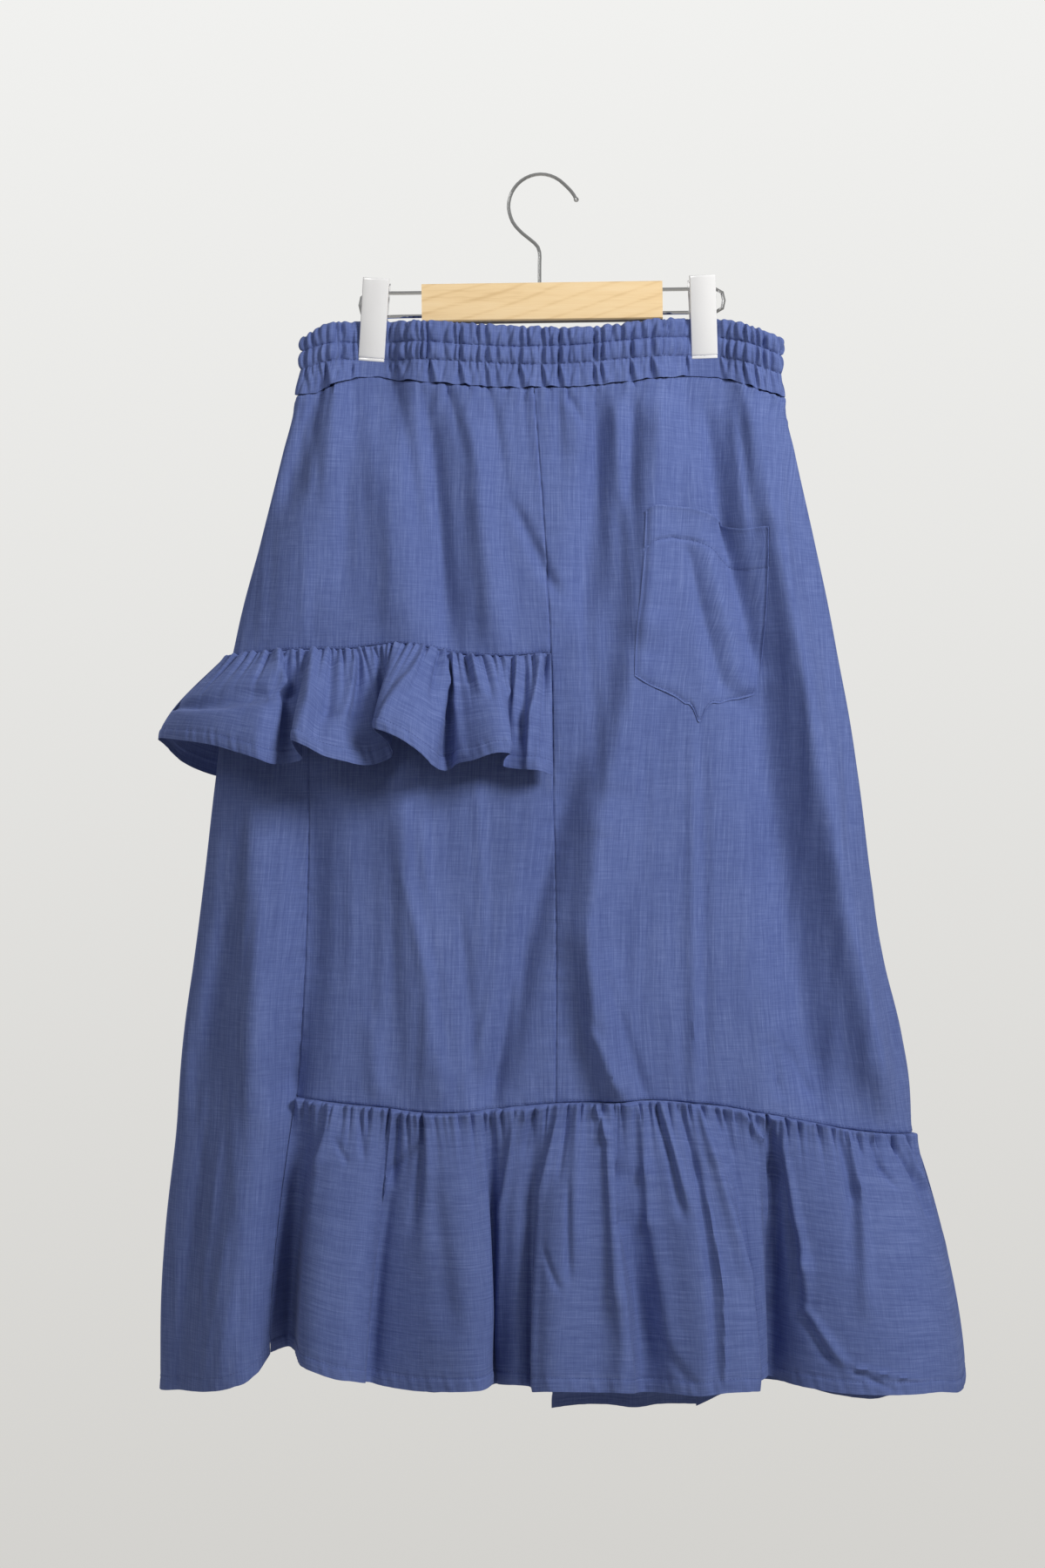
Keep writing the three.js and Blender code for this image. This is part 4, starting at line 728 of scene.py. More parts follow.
def settled(across, z, seed):
    """Slight upright waves that come and go down a hanging cloth, two sets with their own drift."""
    first = gathers(across + 7 * np.sin(z / 83 + seed), seed, SETTLED_PITCHES[0], 1.0)
    first *= np.sin(z / 61 + across / 45 + seed)
    second = gathers(across + 9 * np.sin(z / 120), seed + 1, SETTLED_PITCHES[1], 1.0)
    return SETTLED * (first + second * np.sin(z / 97 - across / 70))


def hem_lift(to_hem, along, seed):
    """A turned hem: a double edge, a dip at its stitching and small waves that its thread pulls in."""
    double = HEM_DOUBLE * (1 - smooth(HEM_DEPTH - 0.8, HEM_DEPTH + 0.6, to_hem))
    waves = HEM_WAVE * gathers(along + to_hem * 0.3, seed, HEM_WAVE_PITCH, 1.0)
    waves *= np.exp(-(((to_hem - 6) / 9) ** 2))
    return double + groove(to_hem - HEM_DEPTH, HEM_DOUBLE, 1.3) + waves


def gathered_lift(along, to_seam, seed, height, reach):
    """Gathers that leave a seam: each strip of cloth fades out at its own distance from it."""
    longer = 0.65 + 0.55 * gathers(along, seed + 7, 31.0, 1.0)
    fade = np.exp(-((to_seam / (reach * np.maximum(longer, 0.15))) ** 1.3))
    swell = smooth(0, 2.0, to_seam)
    broad = gathers(along, seed, BROAD_PITCH, 2.2)
    narrow = gathers(along, seed + 3, NARROW_PITCH, 2.6) * np.exp(-to_seam / NARROW_REACH)
    return height * swell * (0.65 * fade * broad + 1.05 * narrow)


def evened(across, rows=24):
    """Averages a panel's widths over the rows above and below, as its threads run on through folds."""
    padded = np.cumsum(np.pad(across, ((0, 0), (rows + 1, rows)), mode="edge"), axis=1)
    return (padded[:, 2 * rows + 1 :] - padded[:, : -2 * rows - 1]) / (2 * rows + 1)


def panel(name, points, seams, hem_seed=None, gather_seed=None, sewn=TOPSTITCH):
    """Presses a panel's seams in, gathers its top edge, turns its hem and makes its wall. Sewn is how
    far above its lower edge it is stitched."""
    from_left, from_right, from_top, from_foot = edge_distances(points)
    near = {"left": from_left, "right": from_right, "top": from_top, "foot": from_foot}
    run = {"left": from_top, "right": from_top + 5, "top": from_left, "foot": from_left + 9}
    lift = sum(groove(near[side]) + puckers(near[side], run[side], 3, *PUCKERS[side]) for side in seams)
    x, z = points[..., 0], points[..., 2]
    free = 1 - pinch(x, z)
    lift += settled(x, z, len(name)) * smooth(0, 25, np.min(list(near.values()), axis=0)) * free
    if gather_seed is not None:
        lift += groove(from_top, 1.6, 2.4)
        lift += gathered_lift(from_left, from_top, gather_seed, *GATHERED) * free
    if hem_seed is not None:
        lift += hem_lift(from_foot, from_left, hem_seed)
    points = points + grid_normals(points) * lift[..., None]
    seam_thread.append(at_distance(points, from_foot, sewn))
    across = evened(from_left + points[:1, :, 0])
    cut = np.stack([across, points[..., 2]], -1) * MM
    chambray_piece(name, points, CLOTH, cut)


def on_front(line):
    """A line's place around the front at each height, from its x there."""
    return lambda z: around_at(line(z), z)


def steady(value):
    """A line that keeps one value all the way."""
    return lambda place: np.full_like(np.asarray(place, float), value)


seam_thread = []
LEFT_EDGE, RIGHT_EDGE, LEFT_AGAIN = steady(0.0), steady(1.0), steady(2.0)
centre_front = on_front(CENTRE_FRONT)
centre_back = lambda z: around_at(np.full_like(z, CENTRE_BACK_X), z, False)
hip_back = steady(HIP_BACK_Z)
STEP, BACK_STEP = 3.0, 4.0
yoke = panel_grid(LEFT_EDGE, centre_front, waist_seam, HIP_SEAM, 235, 215, STEP)
panel("front_left_yoke", yoke, ("right", "top", "foot"), gather_seed=41)
side = panel_grid(LEFT_EDGE, on_front(side_seam_x), HIP_SEAM, SIDE_HEM, 125, 590, STEP)
panel("front_side_panel", side, ("right", "top"), hem_seed=51, sewn=HEM_DEPTH)
middle = panel_grid(on_front(SIDE_SEAM_TOP), centre_front, HIP_SEAM, HEM_SEAM, 200, 360, STEP)
panel("front_middle_panel", middle, ("left", "right", "top", "foot"), gather_seed=61)
right = panel_grid(centre_front, RIGHT_EDGE, waist_seam, HEM_SEAM, 290, 600, STEP)
panel("front_right_panel", right, ("left", "top", "foot"), gather_seed=71)
back_right = panel_grid(RIGHT_EDGE, centre_back, waist_seam, HEM_SEAM_BACK, 290, 600, BACK_STEP)
panel("back_right_panel", back_right, ("right", "top", "foot"), gather_seed=81)
back_yoke = panel_grid(centre_back, LEFT_AGAIN, waist_seam, hip_back, 255, 220, BACK_STEP)
panel("back_left_yoke", back_yoke, ("left", "top", "foot"), gather_seed=91)
back_left = panel_grid(centre_back, LEFT_AGAIN, hip_back, BACK_HEM, 315, 590, BACK_STEP)
panel("back_left_panel", back_left, ("left", "top"), hem_seed=101, sewn=HEM_DEPTH)
stitches("seam_stitching", seam_thread)

# The two ruffles, straight strips of chambray gathered into their seams. The hem ruffle runs from the
# side panel round the right side to the centre back. The hip ruffle runs from the centre front round
# the left side to the centre back, and stands off the panels that it covers. Each row of a table is a
# crest, a hollow or a turn of the hem: the seam's x where it leaves the skirt, and its own place.
HEM_RUFFLE_FRONT = table(
    "seam x y z",
    (-194, -213, -28, -938), (-186, -203, -5, -939), (-179, -197, -10, -941), (-172, -191, -44, -941),
    (-161, -181, -72, -942), (-146, -161, -78, -948), (-131, -146, -74, -951), (-122, -139, -62, -955),
    (-117, -137, -38, -960), (-110, -125, -38, -963), (-101, -100, -50, -964), (-90, -79, -62, -962),
    (-74, -59, -70, -960), (-60, -45, -68, -959), (-51, -38, -56, -957), (-46, -40, -36, -963),
    (-40, -36, -22, -965), (-33, -31, -34, -963), (-22, -20, -44, -961), (-12, -13, -42, -962),
    (-4, -8, -38, -964), (4, -7, -52, -963), (13, -5, -70, -960), (27, 10, -82, -957),
    (47, 46, -80, -958), (54.5, 62, -86, -957), (58.5, 70, -74, -960), (64, 78, -58, -963),
    (73, 88, -58, -963), (86, 103, -72, -961), (101, 123, -84, -960), (116, 143, -86, -957),
    (128, 161, -82, -957),
    (135, 168, -70, -959), (142, 167, -56, -958), (152, 172, -54, -955), (166, 178, -46, -953),
    (174, 178, -22, -958), (182, 185, -12, -962), (190, 197, -30, -963), (200, 212, -46, -963),
    (217, 236, -58, -964), (238, 263, -64, -964), (260, 290, -62, -964), (278, 312, -50, -965),
    (290, 330, -30, -970), (296, 338, -12, -969), (298, 341, 0, -962),
)
HEM_RUFFLE_BACK = table(
    "seam x y z",
    (295, 337, 16, -970), (280, 320, 38, -984), (262, 292, 50, -991), (244, 270, 34, -991),
    (224, 240, 56, -992), (204, 214, 38, -981), (182, 184, 60, -981), (160, 158, 40, -984),
    (142, 130, 46, -999), (126, 128, 62, -1002), (104, 100, 66, -1003), (82, 78, 50, -1002),
    (60, 56, 64, -1003), (36, 34, 60, -1002), (20, 16, 48, -1001), (9.5, 9.5, 40, -1000),
)
HIP_RUFFLE_BACK = table(
    "seam x y z",
    (7, 8, 36, -478), (-18, -20, 52, -480), (-45, -42, 38, -480), (-72, -76, 56, -481),
    (-100, -98, 40, -480), (-128, -134, 58, -482), (-155, -156, 40, -482), (-180, -192, 60, -483),
    (-205, -222, 46, -484), (-225, -255, 52, -484), (-238, -276, 46, -479), (-245, -293, 32, -470),
    (-247.5, -303, 14, -458),
)
HIP_RUFFLE_FRONT = table(
    "seam x y z",
    (-248, -306, -6, -452), (-236, -284, -40, -454), (-224, -257, -64, -458), (-213, -235, -78, -464),
    (-207, -219, -86, -469), (-202, -211, -78, -473), (-198, -206, -64, -473), (-193, -195, -56, -472),
    (-187, -187, -60, -469), (-183, -191, -73, -461), (-179, -192, -86, -455), (-173, -182, -92, -459),
    (-165, -167, -90, -467), (-156, -152, -84, -471), (-148, -138, -71, -474), (-140, -126, -60, -472),
    (-132, -117, -52, -466), (-122, -120, -60, -456), (-111, -130, -82, -446), (-100, -124, -94, -447),
    (-91, -108, -98, -454), (-84, -94, -94, -464), (-79, -85, -84, -474), (-75, -77, -68, -478),
    (-72, -71, -60, -477), (-69, -65, -68, -473), (-61, -52, -82, -470), (-50, -37, -90, -465),
    (-38, -27, -88, -465), (-32, -29, -72, -470), (-27, -29, -60, -475), (-18, -16, -62, -477),
    (-4, -2, -66, -478), (7.5, 8.5, -54, -482),
)


# The creases of the two ruffles, from gather to hem: x is where a crease's cloth leaves the seam, and
# z how far down the strip it is.
HEM_CREASES = table(
    FOLD_COLUMNS,
    (-160, -3, -168, -60, 3.5, 4, 3.5, 4), (-168, -55, -166, -235, 4, 5, 3.5, 3),
    (-141.4, -3, -136, -42, 2, 2.5, -3.5, -3), (-157, -33, -147, -50, 2, 2.5, -2, -2),
    (-115.6, -5, -115, -75, 3, 4, 4, 5), (-115.5, -65, -121, -235, 3.5, 3.5, 4, 4),
    (-111.5, -5, -112, -60, 2.5, 3, -5, -5), (-112, -55, -117, -235, 3, 5, -4, -4),
    (-93, -3, -101, -92, 1.8, 2.5, -5, -3.5), (-89.5, -8, -96, -125, 3, 6, 3, 3),
    (-95, -24, -114, -54, 2.2, 3, -3, -3), (-48.5, -20, -55, -200, 4, 5, 3.5, 4),
    (-91, -60, -84, -180, 7, 9, -2, -3.5), (-21, -15, -33, -93, 2.5, 3, 4, 3.5),
    (-32, -90, -37, -220, 3, 3, 3, 3), (-12.3, -4, -17.5, -28, 2, 2.5, 3.5, 2),
    (-5.6, -6, -13, -40, 2.2, 3, -3.5, -2), (15.5, -8, 7, -80, 2.5, 3, 4, 3.5),
    (6.5, -75, 13, -235, 3, 3, 3, 3), (30, -5, 34, -120, 3.5, 4.5, 3.5, 3),
    (28, -70, 32, -142, 1.8, 2, -2.5, -3), (23, -5, 20, -60, 2, 3, -3, -2),
    (14.5, -119, 27, -152, 2, 2.5, -2, -2.5), (44.9, -3, 52, -30, 2, 2.5, 5, 4),
    (51.5, -25, 54, -155, 2.5, 2.5, 4, 5), (54, -148, 58, -235, 2.2, 2, 5, 3.5),
    (59, -5, 58.5, -60, 2.2, 3.5, -5, -6), (58.5, -52, 59, -102, 3.5, 4.5, -6, -7),
    (59, -95, 69, -200, 4.5, 5, -6, -4), (72, -180, 95, -226, 3.5, 4, -2.2, -1.8),
    (76, -6, 76, -60, 2.5, 5, 5, 6), (76, -52, 77, -102, 5, 6, 5, 5), (77, -95, 87, -210, 6, 6, 5, 3),
    (181, -6, 182, -60, 2.6, 4, -5, -6), (182, -52, 182, -150, 4, 4.5, -6, -4),
    (88.5, -5, 95, -45, 2.2, 2.5, -5, -4), (94, -40, 97.5, -92, 2.5, 3.5, -4, -3),
    (94, -5, 103, -80, 2, 3, 3, 3.5), (108.5, -6, 112, -60, 2.5, 3, -5, -5),
    (111.5, -52, 112, -140, 3, 3.5, -5, -4), (112, -132, 109, -225, 3, 3.5, -4, -3),
    (122.7, -5, 126, -50, 3, 3.5, 4, 5), (125.5, -45, 133, -146, 3.5, 3.5, 5, 5.5),
    (133, -140, 134, -235, 2.5, 2.5, 4, 3.5), (115.4, -68, 118, -148, 1.2, 1.2, 1.5, 3),
    (118, -140, 114.5, -225, 1.2, 1.2, 3, 2.5), (143.5, -5, 144, -42, 2, 3, -3.5, -2),
    (136, -3, 137, -22, 2, 2, -3, -2), (160.5, -5, 170, -25, 2.5, 3, 3.5, 3.5),
    (170, -20, 179, -100, 3, 3, 3.5, 3), (192, -6, 190, -32, 2.5, 3, 3.5, 3.5),
    (190, -26, 199, -130, 3, 3.5, 4, 6.5), (199, -122, 198, -172, 3.5, 3, 6.5, 5.5),
    (198, -166, 219, -213, 3.5, 4.5, 4, 3.5), (217, -209, 262, -222, 5, 6, 3, 2),
    (187, -30, 193, -110, 3.5, 4, -4, -5.5), (193, -100, 198, -178, 4, 4, -5.5, -5.5),
    (197, -172, 210, -208, 3.5, 3.5, -4, -3.5), (209, -204, 245, -230, 3.5, 4, -2.5, -1.5),
    (241.7, -6, 242, -60, 2.5, 3, 3.5, 3.5), (242, -52, 233.7, -160, 3, 6, 3.5, 4),
    (234, -8, 236, -60, 2.5, 3.5, -3.5, -3.5), (236, -50, 228, -120, 4, 6, -3.5, -2),
    (259, -6, 261, -34, 2, 2.5, -4, -3.5), (260, -30, 271, -50, 2.5, 3, -3.5, -2),
    (249, -5, 249, -22, 1.8, 2, -3.5, -2), (285.6, -6, 292, -45, 2, 2, 3.5, 3.5),
    (292, -38, 296, -110, 2, 2, 3, 2), (274.5, -6, 287, -40, 2, 2, -3.5, -3.5),
    (286, -35, 289.5, -75, 2, 2, -3.5, -2),
)
HIP_CREASES = table(
    FOLD_COLUMNS,
    (-204, -33, -240, -58, 14, 14, -6.5, -6.5), (-206, -4, -200.5, -30, 2.5, 3, 3, 4.5),
    (-200.8, -25, -201.5, -93, 3, 3, 4.5, 5), (-200.7, -6, -196, -35, 2, 2.5, -4, -4),
    (-196, -30, -195, -80, 3, 3, -4, -2.5), (-177, -6, -173.5, -52, 2.5, 3, 4, 4.5),
    (-173.5, -45, -176, -93, 3, 3, 4.5, 4), (-164.5, -5, -164, -55, 3, 3.5, -4, -5),
    (-164, -48, -169, -80, 3.5, 4, -5, -3), (-148, -4, -157, -60, 1.8, 2.5, 4, 4),
    (-144.5, -5, -152.7, -70, 2, 3, -4.5, -4), (-134.4, -8, -143, -60, 2.5, 4, 3, 2.5),
    (-127, -5, -131, -45, 2, 3, -3, -2.5), (-89.5, -4, -94, -45, 2.5, 3, 4, 4.5),
    (-94, -38, -101.6, -93, 3, 3, 4.5, 4), (-74.7, -6, -74, -28, 2, 2.5, 4, 4),
    (-74, -22, -79.5, -90, 2.5, 3, 4, 3), (-79.5, -8, -79, -42, 2, 3, -4, -3),
    (-71.6, -10, -71, -50, 2, 2.5, -4.5, -4.5), (-71, -44, -73.3, -85, 2.5, 2.5, -4.5, -3),
    (-68, -6, -69.3, -50, 2, 2.5, 4, 4), (-69.3, -42, -67, -93, 2.5, 2.5, 4, 3),
    (-31, -3, -31, -36, 2, 2.5, 4, 4), (-31, -30, -38, -93, 2.5, 3, 4, 4),
    (-61.2, -4, -60.5, -26, 2, 3, -3, -2.5), (-53.9, -4, -52.6, -36, 2.5, 4, 3, 2.5),
    (-45, -4, -47, -40, 2, 4, -2.5, -2), (-19.1, -6, -22.5, -60, 2, 3, 4, 3),
    (-1, -4, -9.5, -52, 2, 2.5, 4, 4), (-9.5, -45, -12.7, -90, 2.5, 2.5, 4, 3),
    (-12.5, -10, -18.5, -72, 2.5, 3, -4, -4), (3, -6, 0, -80, 2.5, 3, -3, -4),
)


def through(values, place):
    """A Catmull-Rom curve through the values, at a place counted in rows."""
    last = len(values) - 1
    i = np.clip(np.floor(place).astype(int), 0, last - 1)
    k = place - i
    a, b, c, d = (values[np.clip(i + n, 0, last)] for n in (-1, 0, 1, 2))
    bend = (2 * a - 5 * b + 4 * c - d) * k**2 + (3 * b - a - 3 * c + d) * k**3
    return b + ((c - a) * k + bend) / 2


def stacked(first, second):
    """Two tables with the same columns, one after the other."""
    return {name: np.concatenate([first[name], second[name]]) for name in first}


RUN_STEP = 0.003  # how far ahead and behind, around the skirt, a seam's direction is taken


def ruffle_points(rows, rounds, seam_z, stand_off, along, down):
    """A ruffle's face: a blend from its seam to its hem by flare(down) in x and y, by down in z."""
    around = through(rounds, along)
    z = seam_z(np.zeros_like(around), around)
    for _ in range(4):
        z = seam_z(skirt(around, z, False)[..., 0], around)
    ahead, behind = (skirt(around + step, z, False) for step in (RUN_STEP, -RUN_STEP))
    run = ahead - behind
    outward = np.stack([run[..., 1], -run[..., 0], np.zeros_like(z)], -1)
    outward /= np.linalg.norm(outward, axis=-1, keepdims=True)
    seam = skirt(around, z, False) + outward * stand_off
    foot = np.stack([through(rows[name], along) for name in ("x", "y", "z")], -1)
    out = flare(down)
    share = np.stack([out, out, down], -1)
    return mix(seam, foot, share)


ROUGH_POINTS = 400
SEAM_ROLL, ROLL_REACH = 0.9, 16.0
RUFFLE_EDGE = (0.45, 1.0, 1.8, 3.0, 4.8, 7.2, 9.6, 10.6, 11.6, 13.0, 15.5)


def ruffle(name, surface, start, end, fullness, seed, creases=None, step=2.0, drop=235.0):
    """Makes one node's stretch of a ruffle. Gathers leave its seam, short and deep beside it and fading
    down the strip, and its hem is turned and stitched."""
    rough_rows = np.linspace(start, end, ROUGH_POINTS)
    rough = surface(rough_rows[:, None], np.ones((ROUGH_POINTS, 1)))
    run = distances(rough, 0)[:, 0]
    count = int(run[-1] / step)
    rows_at = np.interp(np.linspace(0, run[-1], count + 1), run, rough_rows)
    along, down = np.meshgrid(rows_at, spaced(drop, step * 2.4, RUFFLE_EDGE), indexing="ij")
    points = surface(along, down)
    hem_run = distances(points, 0)[:, -1:] * np.ones_like(down)
    seam_run = distances(points, 0)[:, :1] * np.ones_like(down)
    to_seam, to_hem = down * drop, (1 - down) * drop
    lift = gathered_lift(seam_run, to_seam, seed, *fullness) + hem_lift(to_hem, hem_run, seed + 5)
    roll = SEAM_ROLL * smooth(0, 3.5, to_seam) * np.exp(-to_seam / ROLL_REACH)
    lift += groove(to_seam, SEAM_ROLL, 1.6) + roll
    if creases is not None:
        seam_x = points[:, :1, 0] * np.ones_like(down)
        lift += fold_lift(creases, seam_x, -to_seam) * smooth(0, 5, to_seam)
    points = points + grid_normals(points) * lift[..., None]
    ruffle_thread.append(at_distance(points, to_hem, HEM_DEPTH))
    cut = np.stack([to_seam, hem_run], -1) * MM
    chambray_piece(name, points, CLOTH, cut)


ruffle_thread = []
hem_rows = stacked(HEM_RUFFLE_FRONT, HEM_RUFFLE_BACK)
right_edge = len(HEM_RUFFLE_FRONT["x"]) - 1
hem_front_rounds = around_at(HEM_RUFFLE_FRONT["seam"], HEM_SEAM(HEM_RUFFLE_FRONT["seam"]))
hem_back_rounds = around_at(HEM_RUFFLE_BACK["seam"], HEM_SEAM_BACK(HEM_RUFFLE_BACK["seam"]), False)
hem_rounds = np.concatenate([hem_front_rounds[:-1], [1.0], hem_back_rounds])
hem_seam_z = lambda x, around: np.where(around <= 1, HEM_SEAM(x), HEM_SEAM_BACK(x))
EDGE_ROWS = 3.0


def hem_surface(along, down):
    """The hem ruffle, whose left end keeps to the side panel's edge, as the two are sewn together."""
    points, end = (
        ruffle_points(hem_rows, hem_rounds, hem_seam_z, 0.0, place, down)
        for place in (along, np.zeros_like(down))
    )
    sewn = skirt(around_at(side_seam_x(end[..., 2]), end[..., 2]), end[..., 2])
    share = np.clip(1 - along / EDGE_ROWS, 0, 1) ** 2
    return points + (sewn - end) * share[..., None]


hem_end = len(hem_rounds) - 1
ruffle("hem_ruffle_front", hem_surface, 0, right_edge, (4.2, 20.0), 11, HEM_CREASES, 1.5)
ruffle("hem_ruffle_back", hem_surface, right_edge, hem_end, (3.4, 60.0), 12, step=2.2)

hip_rows = stacked(HIP_RUFFLE_BACK, HIP_RUFFLE_FRONT)
left_edge = len(HIP_RUFFLE_BACK["x"])
hip_back_rounds = around_at(HIP_RUFFLE_BACK["seam"], np.full(left_edge, HIP_BACK_Z), False) - 2
hip_front_rounds = around_at(HIP_RUFFLE_FRONT["seam"], HIP_SEAM(HIP_RUFFLE_FRONT["seam"]))
hip_rounds = np.concatenate([hip_back_rounds, [0.0], hip_front_rounds[1:]])
hip_seam_z = lambda x, around: mix(HIP_BACK_Z, HIP_SEAM(x), smooth(-0.02, 0.04, around))
HIP_STAND_OFF = 1.2


def hip_surface(along, down):
    """The hip ruffle, whose seam stands off the panels by HIP_STAND_OFF."""
    return ruffle_points(hip_rows, hip_rounds, hip_seam_z, HIP_STAND_OFF, along, down)


hip_end, HIP_DROP = len(hip_rounds) - 1, 93.0
ruffle("hip_ruffle_back", hip_surface, 0, left_edge, (2.4, 30.0), 21, drop=HIP_DROP)
ruffle(
    "hip_ruffle_front", hip_surface, left_edge, hip_end, (3.5, 15.0), 22,
    HIP_CREASES, 1.1, HIP_DROP,
)
stitches("ruffle_stitching", ruffle_thread)

# The patch pocket: a five-sided piece of chambray with a turned top hem, stitched to the right front
# down its sides and along its pointed foot, with its mouth standing a little open.
POCKET_SIDES = table("z left right", (-275, 83, 181), (-335, 79, 180), (-372, 75, 178), (-406, 73, 175))
POCKET_TOP = course(
    "x z", (83, -273.5), (87, -270.5), (98, -269), (111, -269.5),
    (125, -272), (135, -276), (143, -280), (181, -284),
)
POCKET_FOOT = course(
    "x z", (73, -404), (85, -411), (100, -417), (113, -425), (121, -431.5), (124.5, -440),
    (128.5, -432.5), (142, -425), (157, -421), (175, -416),
)
POCKET_WIDE, POCKET_TALL = (102.0, 1.4), (145.0, 1.3)  # its size and the step of its grid
POCKET_TOP_Z, POCKET_FOOT_Z = -266.0, -412.0
POCKET_HEM, POCKET_SEWN, POCKET_CLOTH = 25.0, 2.0, 0.8
POCKET_PROUD, CROWN, MOUTH_OPEN = 0.95, 0.8, 3.2
ARCH_LEFT, ARCH_RIGHT = 5.5, 8.0

share_across, share_down = np.meshgrid(spaced(*POCKET_WIDE), spaced(*POCKET_TALL), indexing="ij")
z = mix(POCKET_TOP_Z, POCKET_FOOT_Z, share_down)
for _ in range(6):
    x = mix(*(curve(POCKET_SIDES, "z", edge)(z) for edge in ("left", "right")), share_across)
    z = mix(POCKET_TOP(x), POCKET_FOOT(x), share_down)
pocket = skirt(around_at(x, z), z)
from_left, from_right, from_top, from_foot = edge_distances(pocket)
inside = np.minimum(np.minimum(from_left, from_right), from_foot)
# The stitch line of the top hem is arched: it drops at the left side and right of the middle.
arch = ARCH_LEFT * (1 - smooth(0, 0.22, share_across))
arch += ARCH_RIGHT * smooth(0.42, 0.7, share_across)
to_band = from_top - arch
band_dip = mix(1.5, 0.4, smooth(0.45, 0.75, share_across))
lift = POCKET_PROUD + CROWN * smooth(0, 9, inside)
lift += MOUTH_OPEN * np.exp(-from_top / 16) * np.sin(np.pi * share_across) ** 0.8
lift += 0.4 * (1 - smooth(POCKET_HEM - 0.8, POCKET_HEM + 0.8, to_band))
lift += groove(to_band - POCKET_HEM, band_dip, 1.1) + groove(inside - POCKET_SEWN, 0.7, 1.0)
lift -= groove(from_top - 1.2, 0.5, 1.0)
pocket = pocket + grid_normals(pocket) * lift[..., None]
turned = pocket.swapaxes(0, 1)
pocket_thread = [at_distance(turned, near.T, POCKET_SEWN) for near in (from_left, from_right)]
pocket_thread += [at_distance(pocket, from_foot, POCKET_SEWN), at_distance(pocket, to_band, POCKET_HEM)]
stitches("pocket_stitching", pocket_thread)
cut = np.stack([from_left, pocket[..., 2] + 3], -1) * MM
chambray_piece(
    "patch_pocket", pocket, POCKET_CLOTH, cut
)

# The hanger's bar: one length of maple with eased edges and a satin varnish, drilled at both ends for
# the wire loops and in its top for the hook. Its year rings run out over the front face at a slant.
maple = Shader("maple", Roughness=0.42, Coat_Weight=0.15, Coat_Roughness=0.3)
place = maple.node("TexCoord", output="Object")
long_grain = maple.noise(maple.stretched(place, (9, 120, 120)), 1.0, 4.0, 0.6)
pores = maple.noise(maple.stretched(place, (60, 1400, 1400)), 1.0, 2.0)
turned = maple.node("Mapping", {}, {"Vector": place, "Rotation": (0, 0.3, 0)})
bent = {"Vector": maple.stretched(turned, (11, 30, 27)), "Scale": 1.1, "Distortion": 6.0, "Detail": 2.0}
slant = {"wave_type": "BANDS", "bands_direction": "Z"}
rings = maple.node("TexWave", slant, {**bent, "Detail Scale": 0.5}, output="Fac")
figure = long_grain * 0.55 + (1 - rings**7) * 0.12 + pores * 0.3
MAPLE_TONES = [(0.2, (0.63, 0.42, 0.20)), (0.5, (0.85, 0.63, 0.355)), (0.8, (0.92, 0.725, 0.46))]
maple.feed("Base Color", maple.node("ValToRGB", {"stops": MAPLE_TONES}, {"Fac": figure}))
maple.feed("Normal", maple.node("Bump", {}, {"Height": figure, "Strength": 0.25, "Distance": 0.0004}))


def finish(node, material):
    """Gives a CAD node that is shown as it is its material."""
    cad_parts[node].data.materials.clear()
    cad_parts[node].data.materials.append(material)


finish("hanger_bar", maple.material)

# The hook, the two loops and the clips' leaf springs: round wire and narrow strip, bent cold and
# brightly chromed. The hook turns in the bar's top, and the loops are pushed into the bar's ends.
chrome = Shader("chrome", Metallic=1.0, Roughness=0.12, Base_Color=(0.95, 0.955, 0.96, 1))
finish("hanger_hook", chrome.material)
for side in ("left", "right"):
    finish("hanger_loop_" + side, chrome.material)
    finish("clip_" + side + "_spring", chrome.material)

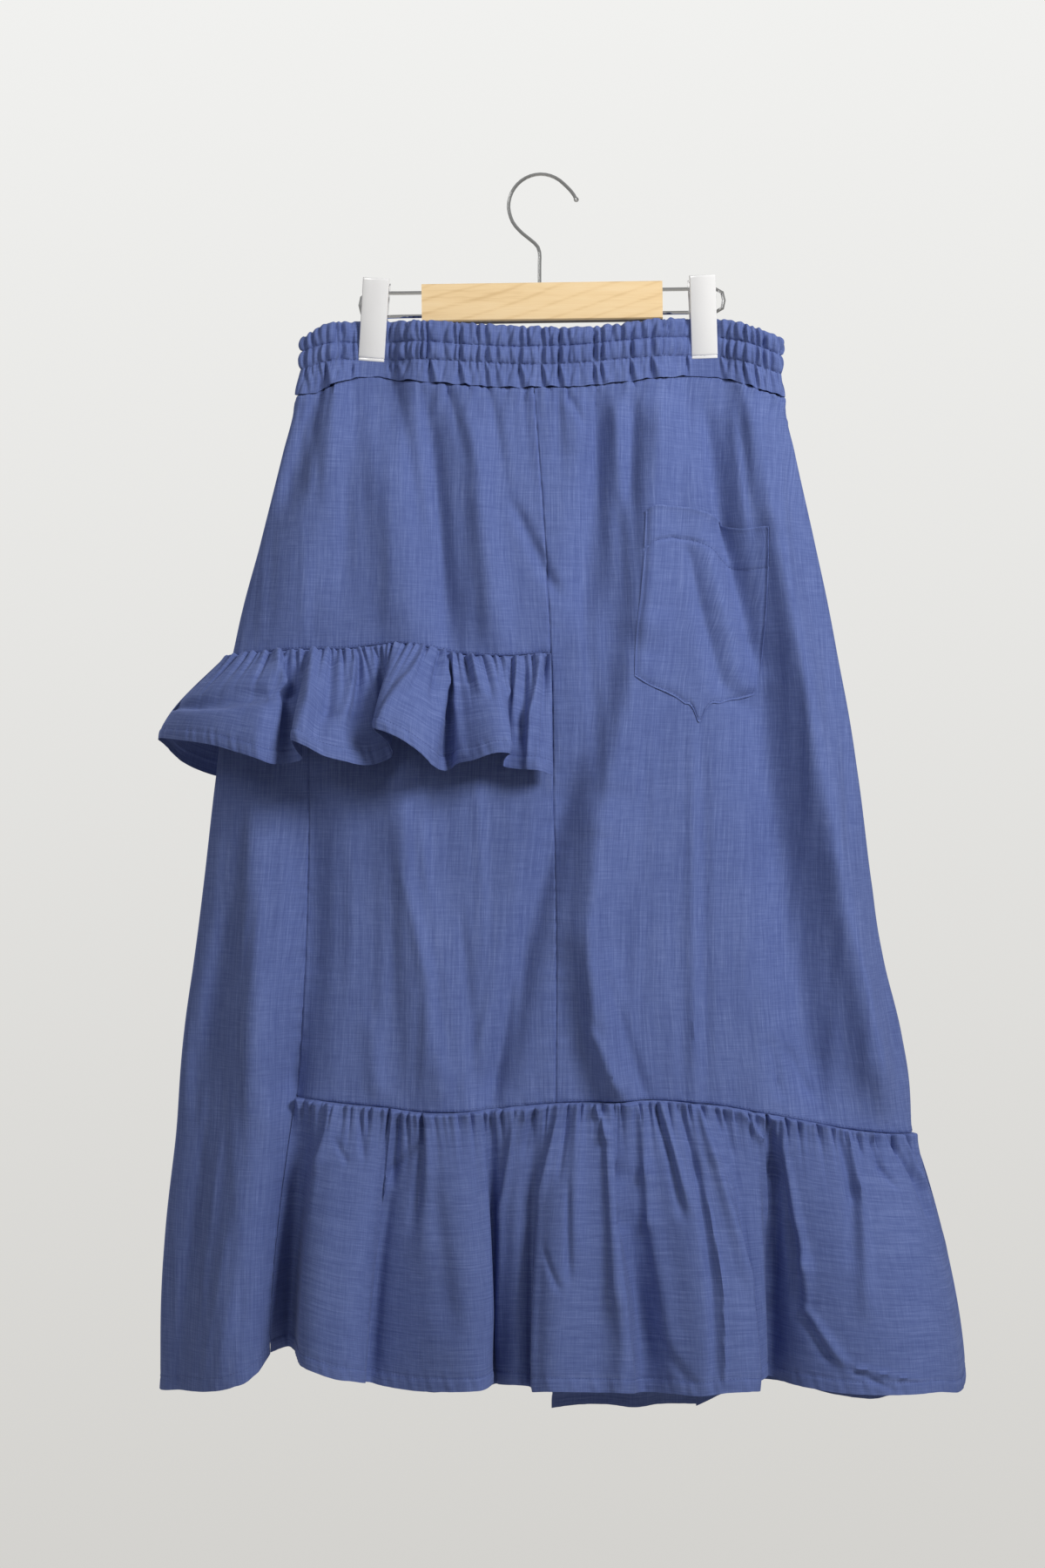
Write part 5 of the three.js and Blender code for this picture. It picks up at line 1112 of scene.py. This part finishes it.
# The clips: two pressed steel plates each, bright plated, that meet at their jaws and spread upwards.
# A plate's sides are bent back as flanges, its top is rolled over, and its foot ends in a thin lip.
CLIPS = {"clip_left": (-136.0, -1.0, -4.0), "clip_right": (131.6, 1.2, 2.3)}  # x, rise, lean in degrees
CLIP_TOP_Z = -83.0
JAW_Y, SPREAD_Y = 2.1, 11.5
PLATE_WALL, SHEET_STEEL = 1.1, 0.88
ACROSS_PLATE = table(
    "x back", (-10.5, 2.6), (-10.5, 1.0), (-10.3, 0.4), (-9.8, 0.0),
    (9.8, 0.0), (10.3, 0.4), (10.5, 1.0), (10.5, 2.6),
)
DOWN_PLATE = table(
    "z back", (-83.0, 2.8), (-83.0, 1.4), (-83.3, 0.6), (-84.2, 0.1), (-85.5, 0.0),
    (-144.0, 0.0), (-145.2, 0.25), (-145.8, 0.9), (-146.0, 1.3),
    (-146.3, 0.7), (-148.0, 0.6), (-148.3, 1.0), (-148.3, 1.7),
)
steel = Shader("plated_steel", Metallic=0.2, Roughness=0.28, Base_Color=(0.93, 0.93, 0.94, 1))


def halved(rows, key):
    """A table's two columns with a point added in the middle of each step."""
    doubled = np.repeat(np.stack([rows[key], rows["back"]], -1), 2, axis=0)
    return (doubled[1:] + doubled[:-1]) / 2


def clip_plate(name, side, x, raised, lean):
    """One plate: its stand-off spreads evenly from jaw to top, less the bend back at its edges. Side is
    -1 for the front plate and 1 for the back one."""
    wide, tall = halved(ACROSS_PLATE, "x"), halved(DOWN_PLATE, "z")
    across, z = np.meshgrid(-side * wide[:, 0], tall[:, 0], indexing="ij")
    back = wide[:, 1][:, None] + tall[:, 1][None, :]
    stand = mix(JAW_Y, SPREAD_Y, (z - JAW_Z) / (CLIP_TOP_Z - JAW_Z)) + PLATE_WALL - back
    turn, up = math.radians(-lean), z - JAW_Z
    points = [
        x + across * math.cos(turn) + up * math.sin(turn),
        side * stand,
        JAW_Z + raised - across * math.sin(turn) + up * math.cos(turn),
    ]
    points = np.stack(points, axis=-1)
    piece = cloth(name + "_pressed", points, SHEET_STEEL, points[..., ::2] * MM, steel.material)
    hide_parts(name)


for clip, placed in CLIPS.items():
    clip_plate(clip + "_front_plate", -1, *placed)
    clip_plate(clip + "_back_plate", 1, *placed)
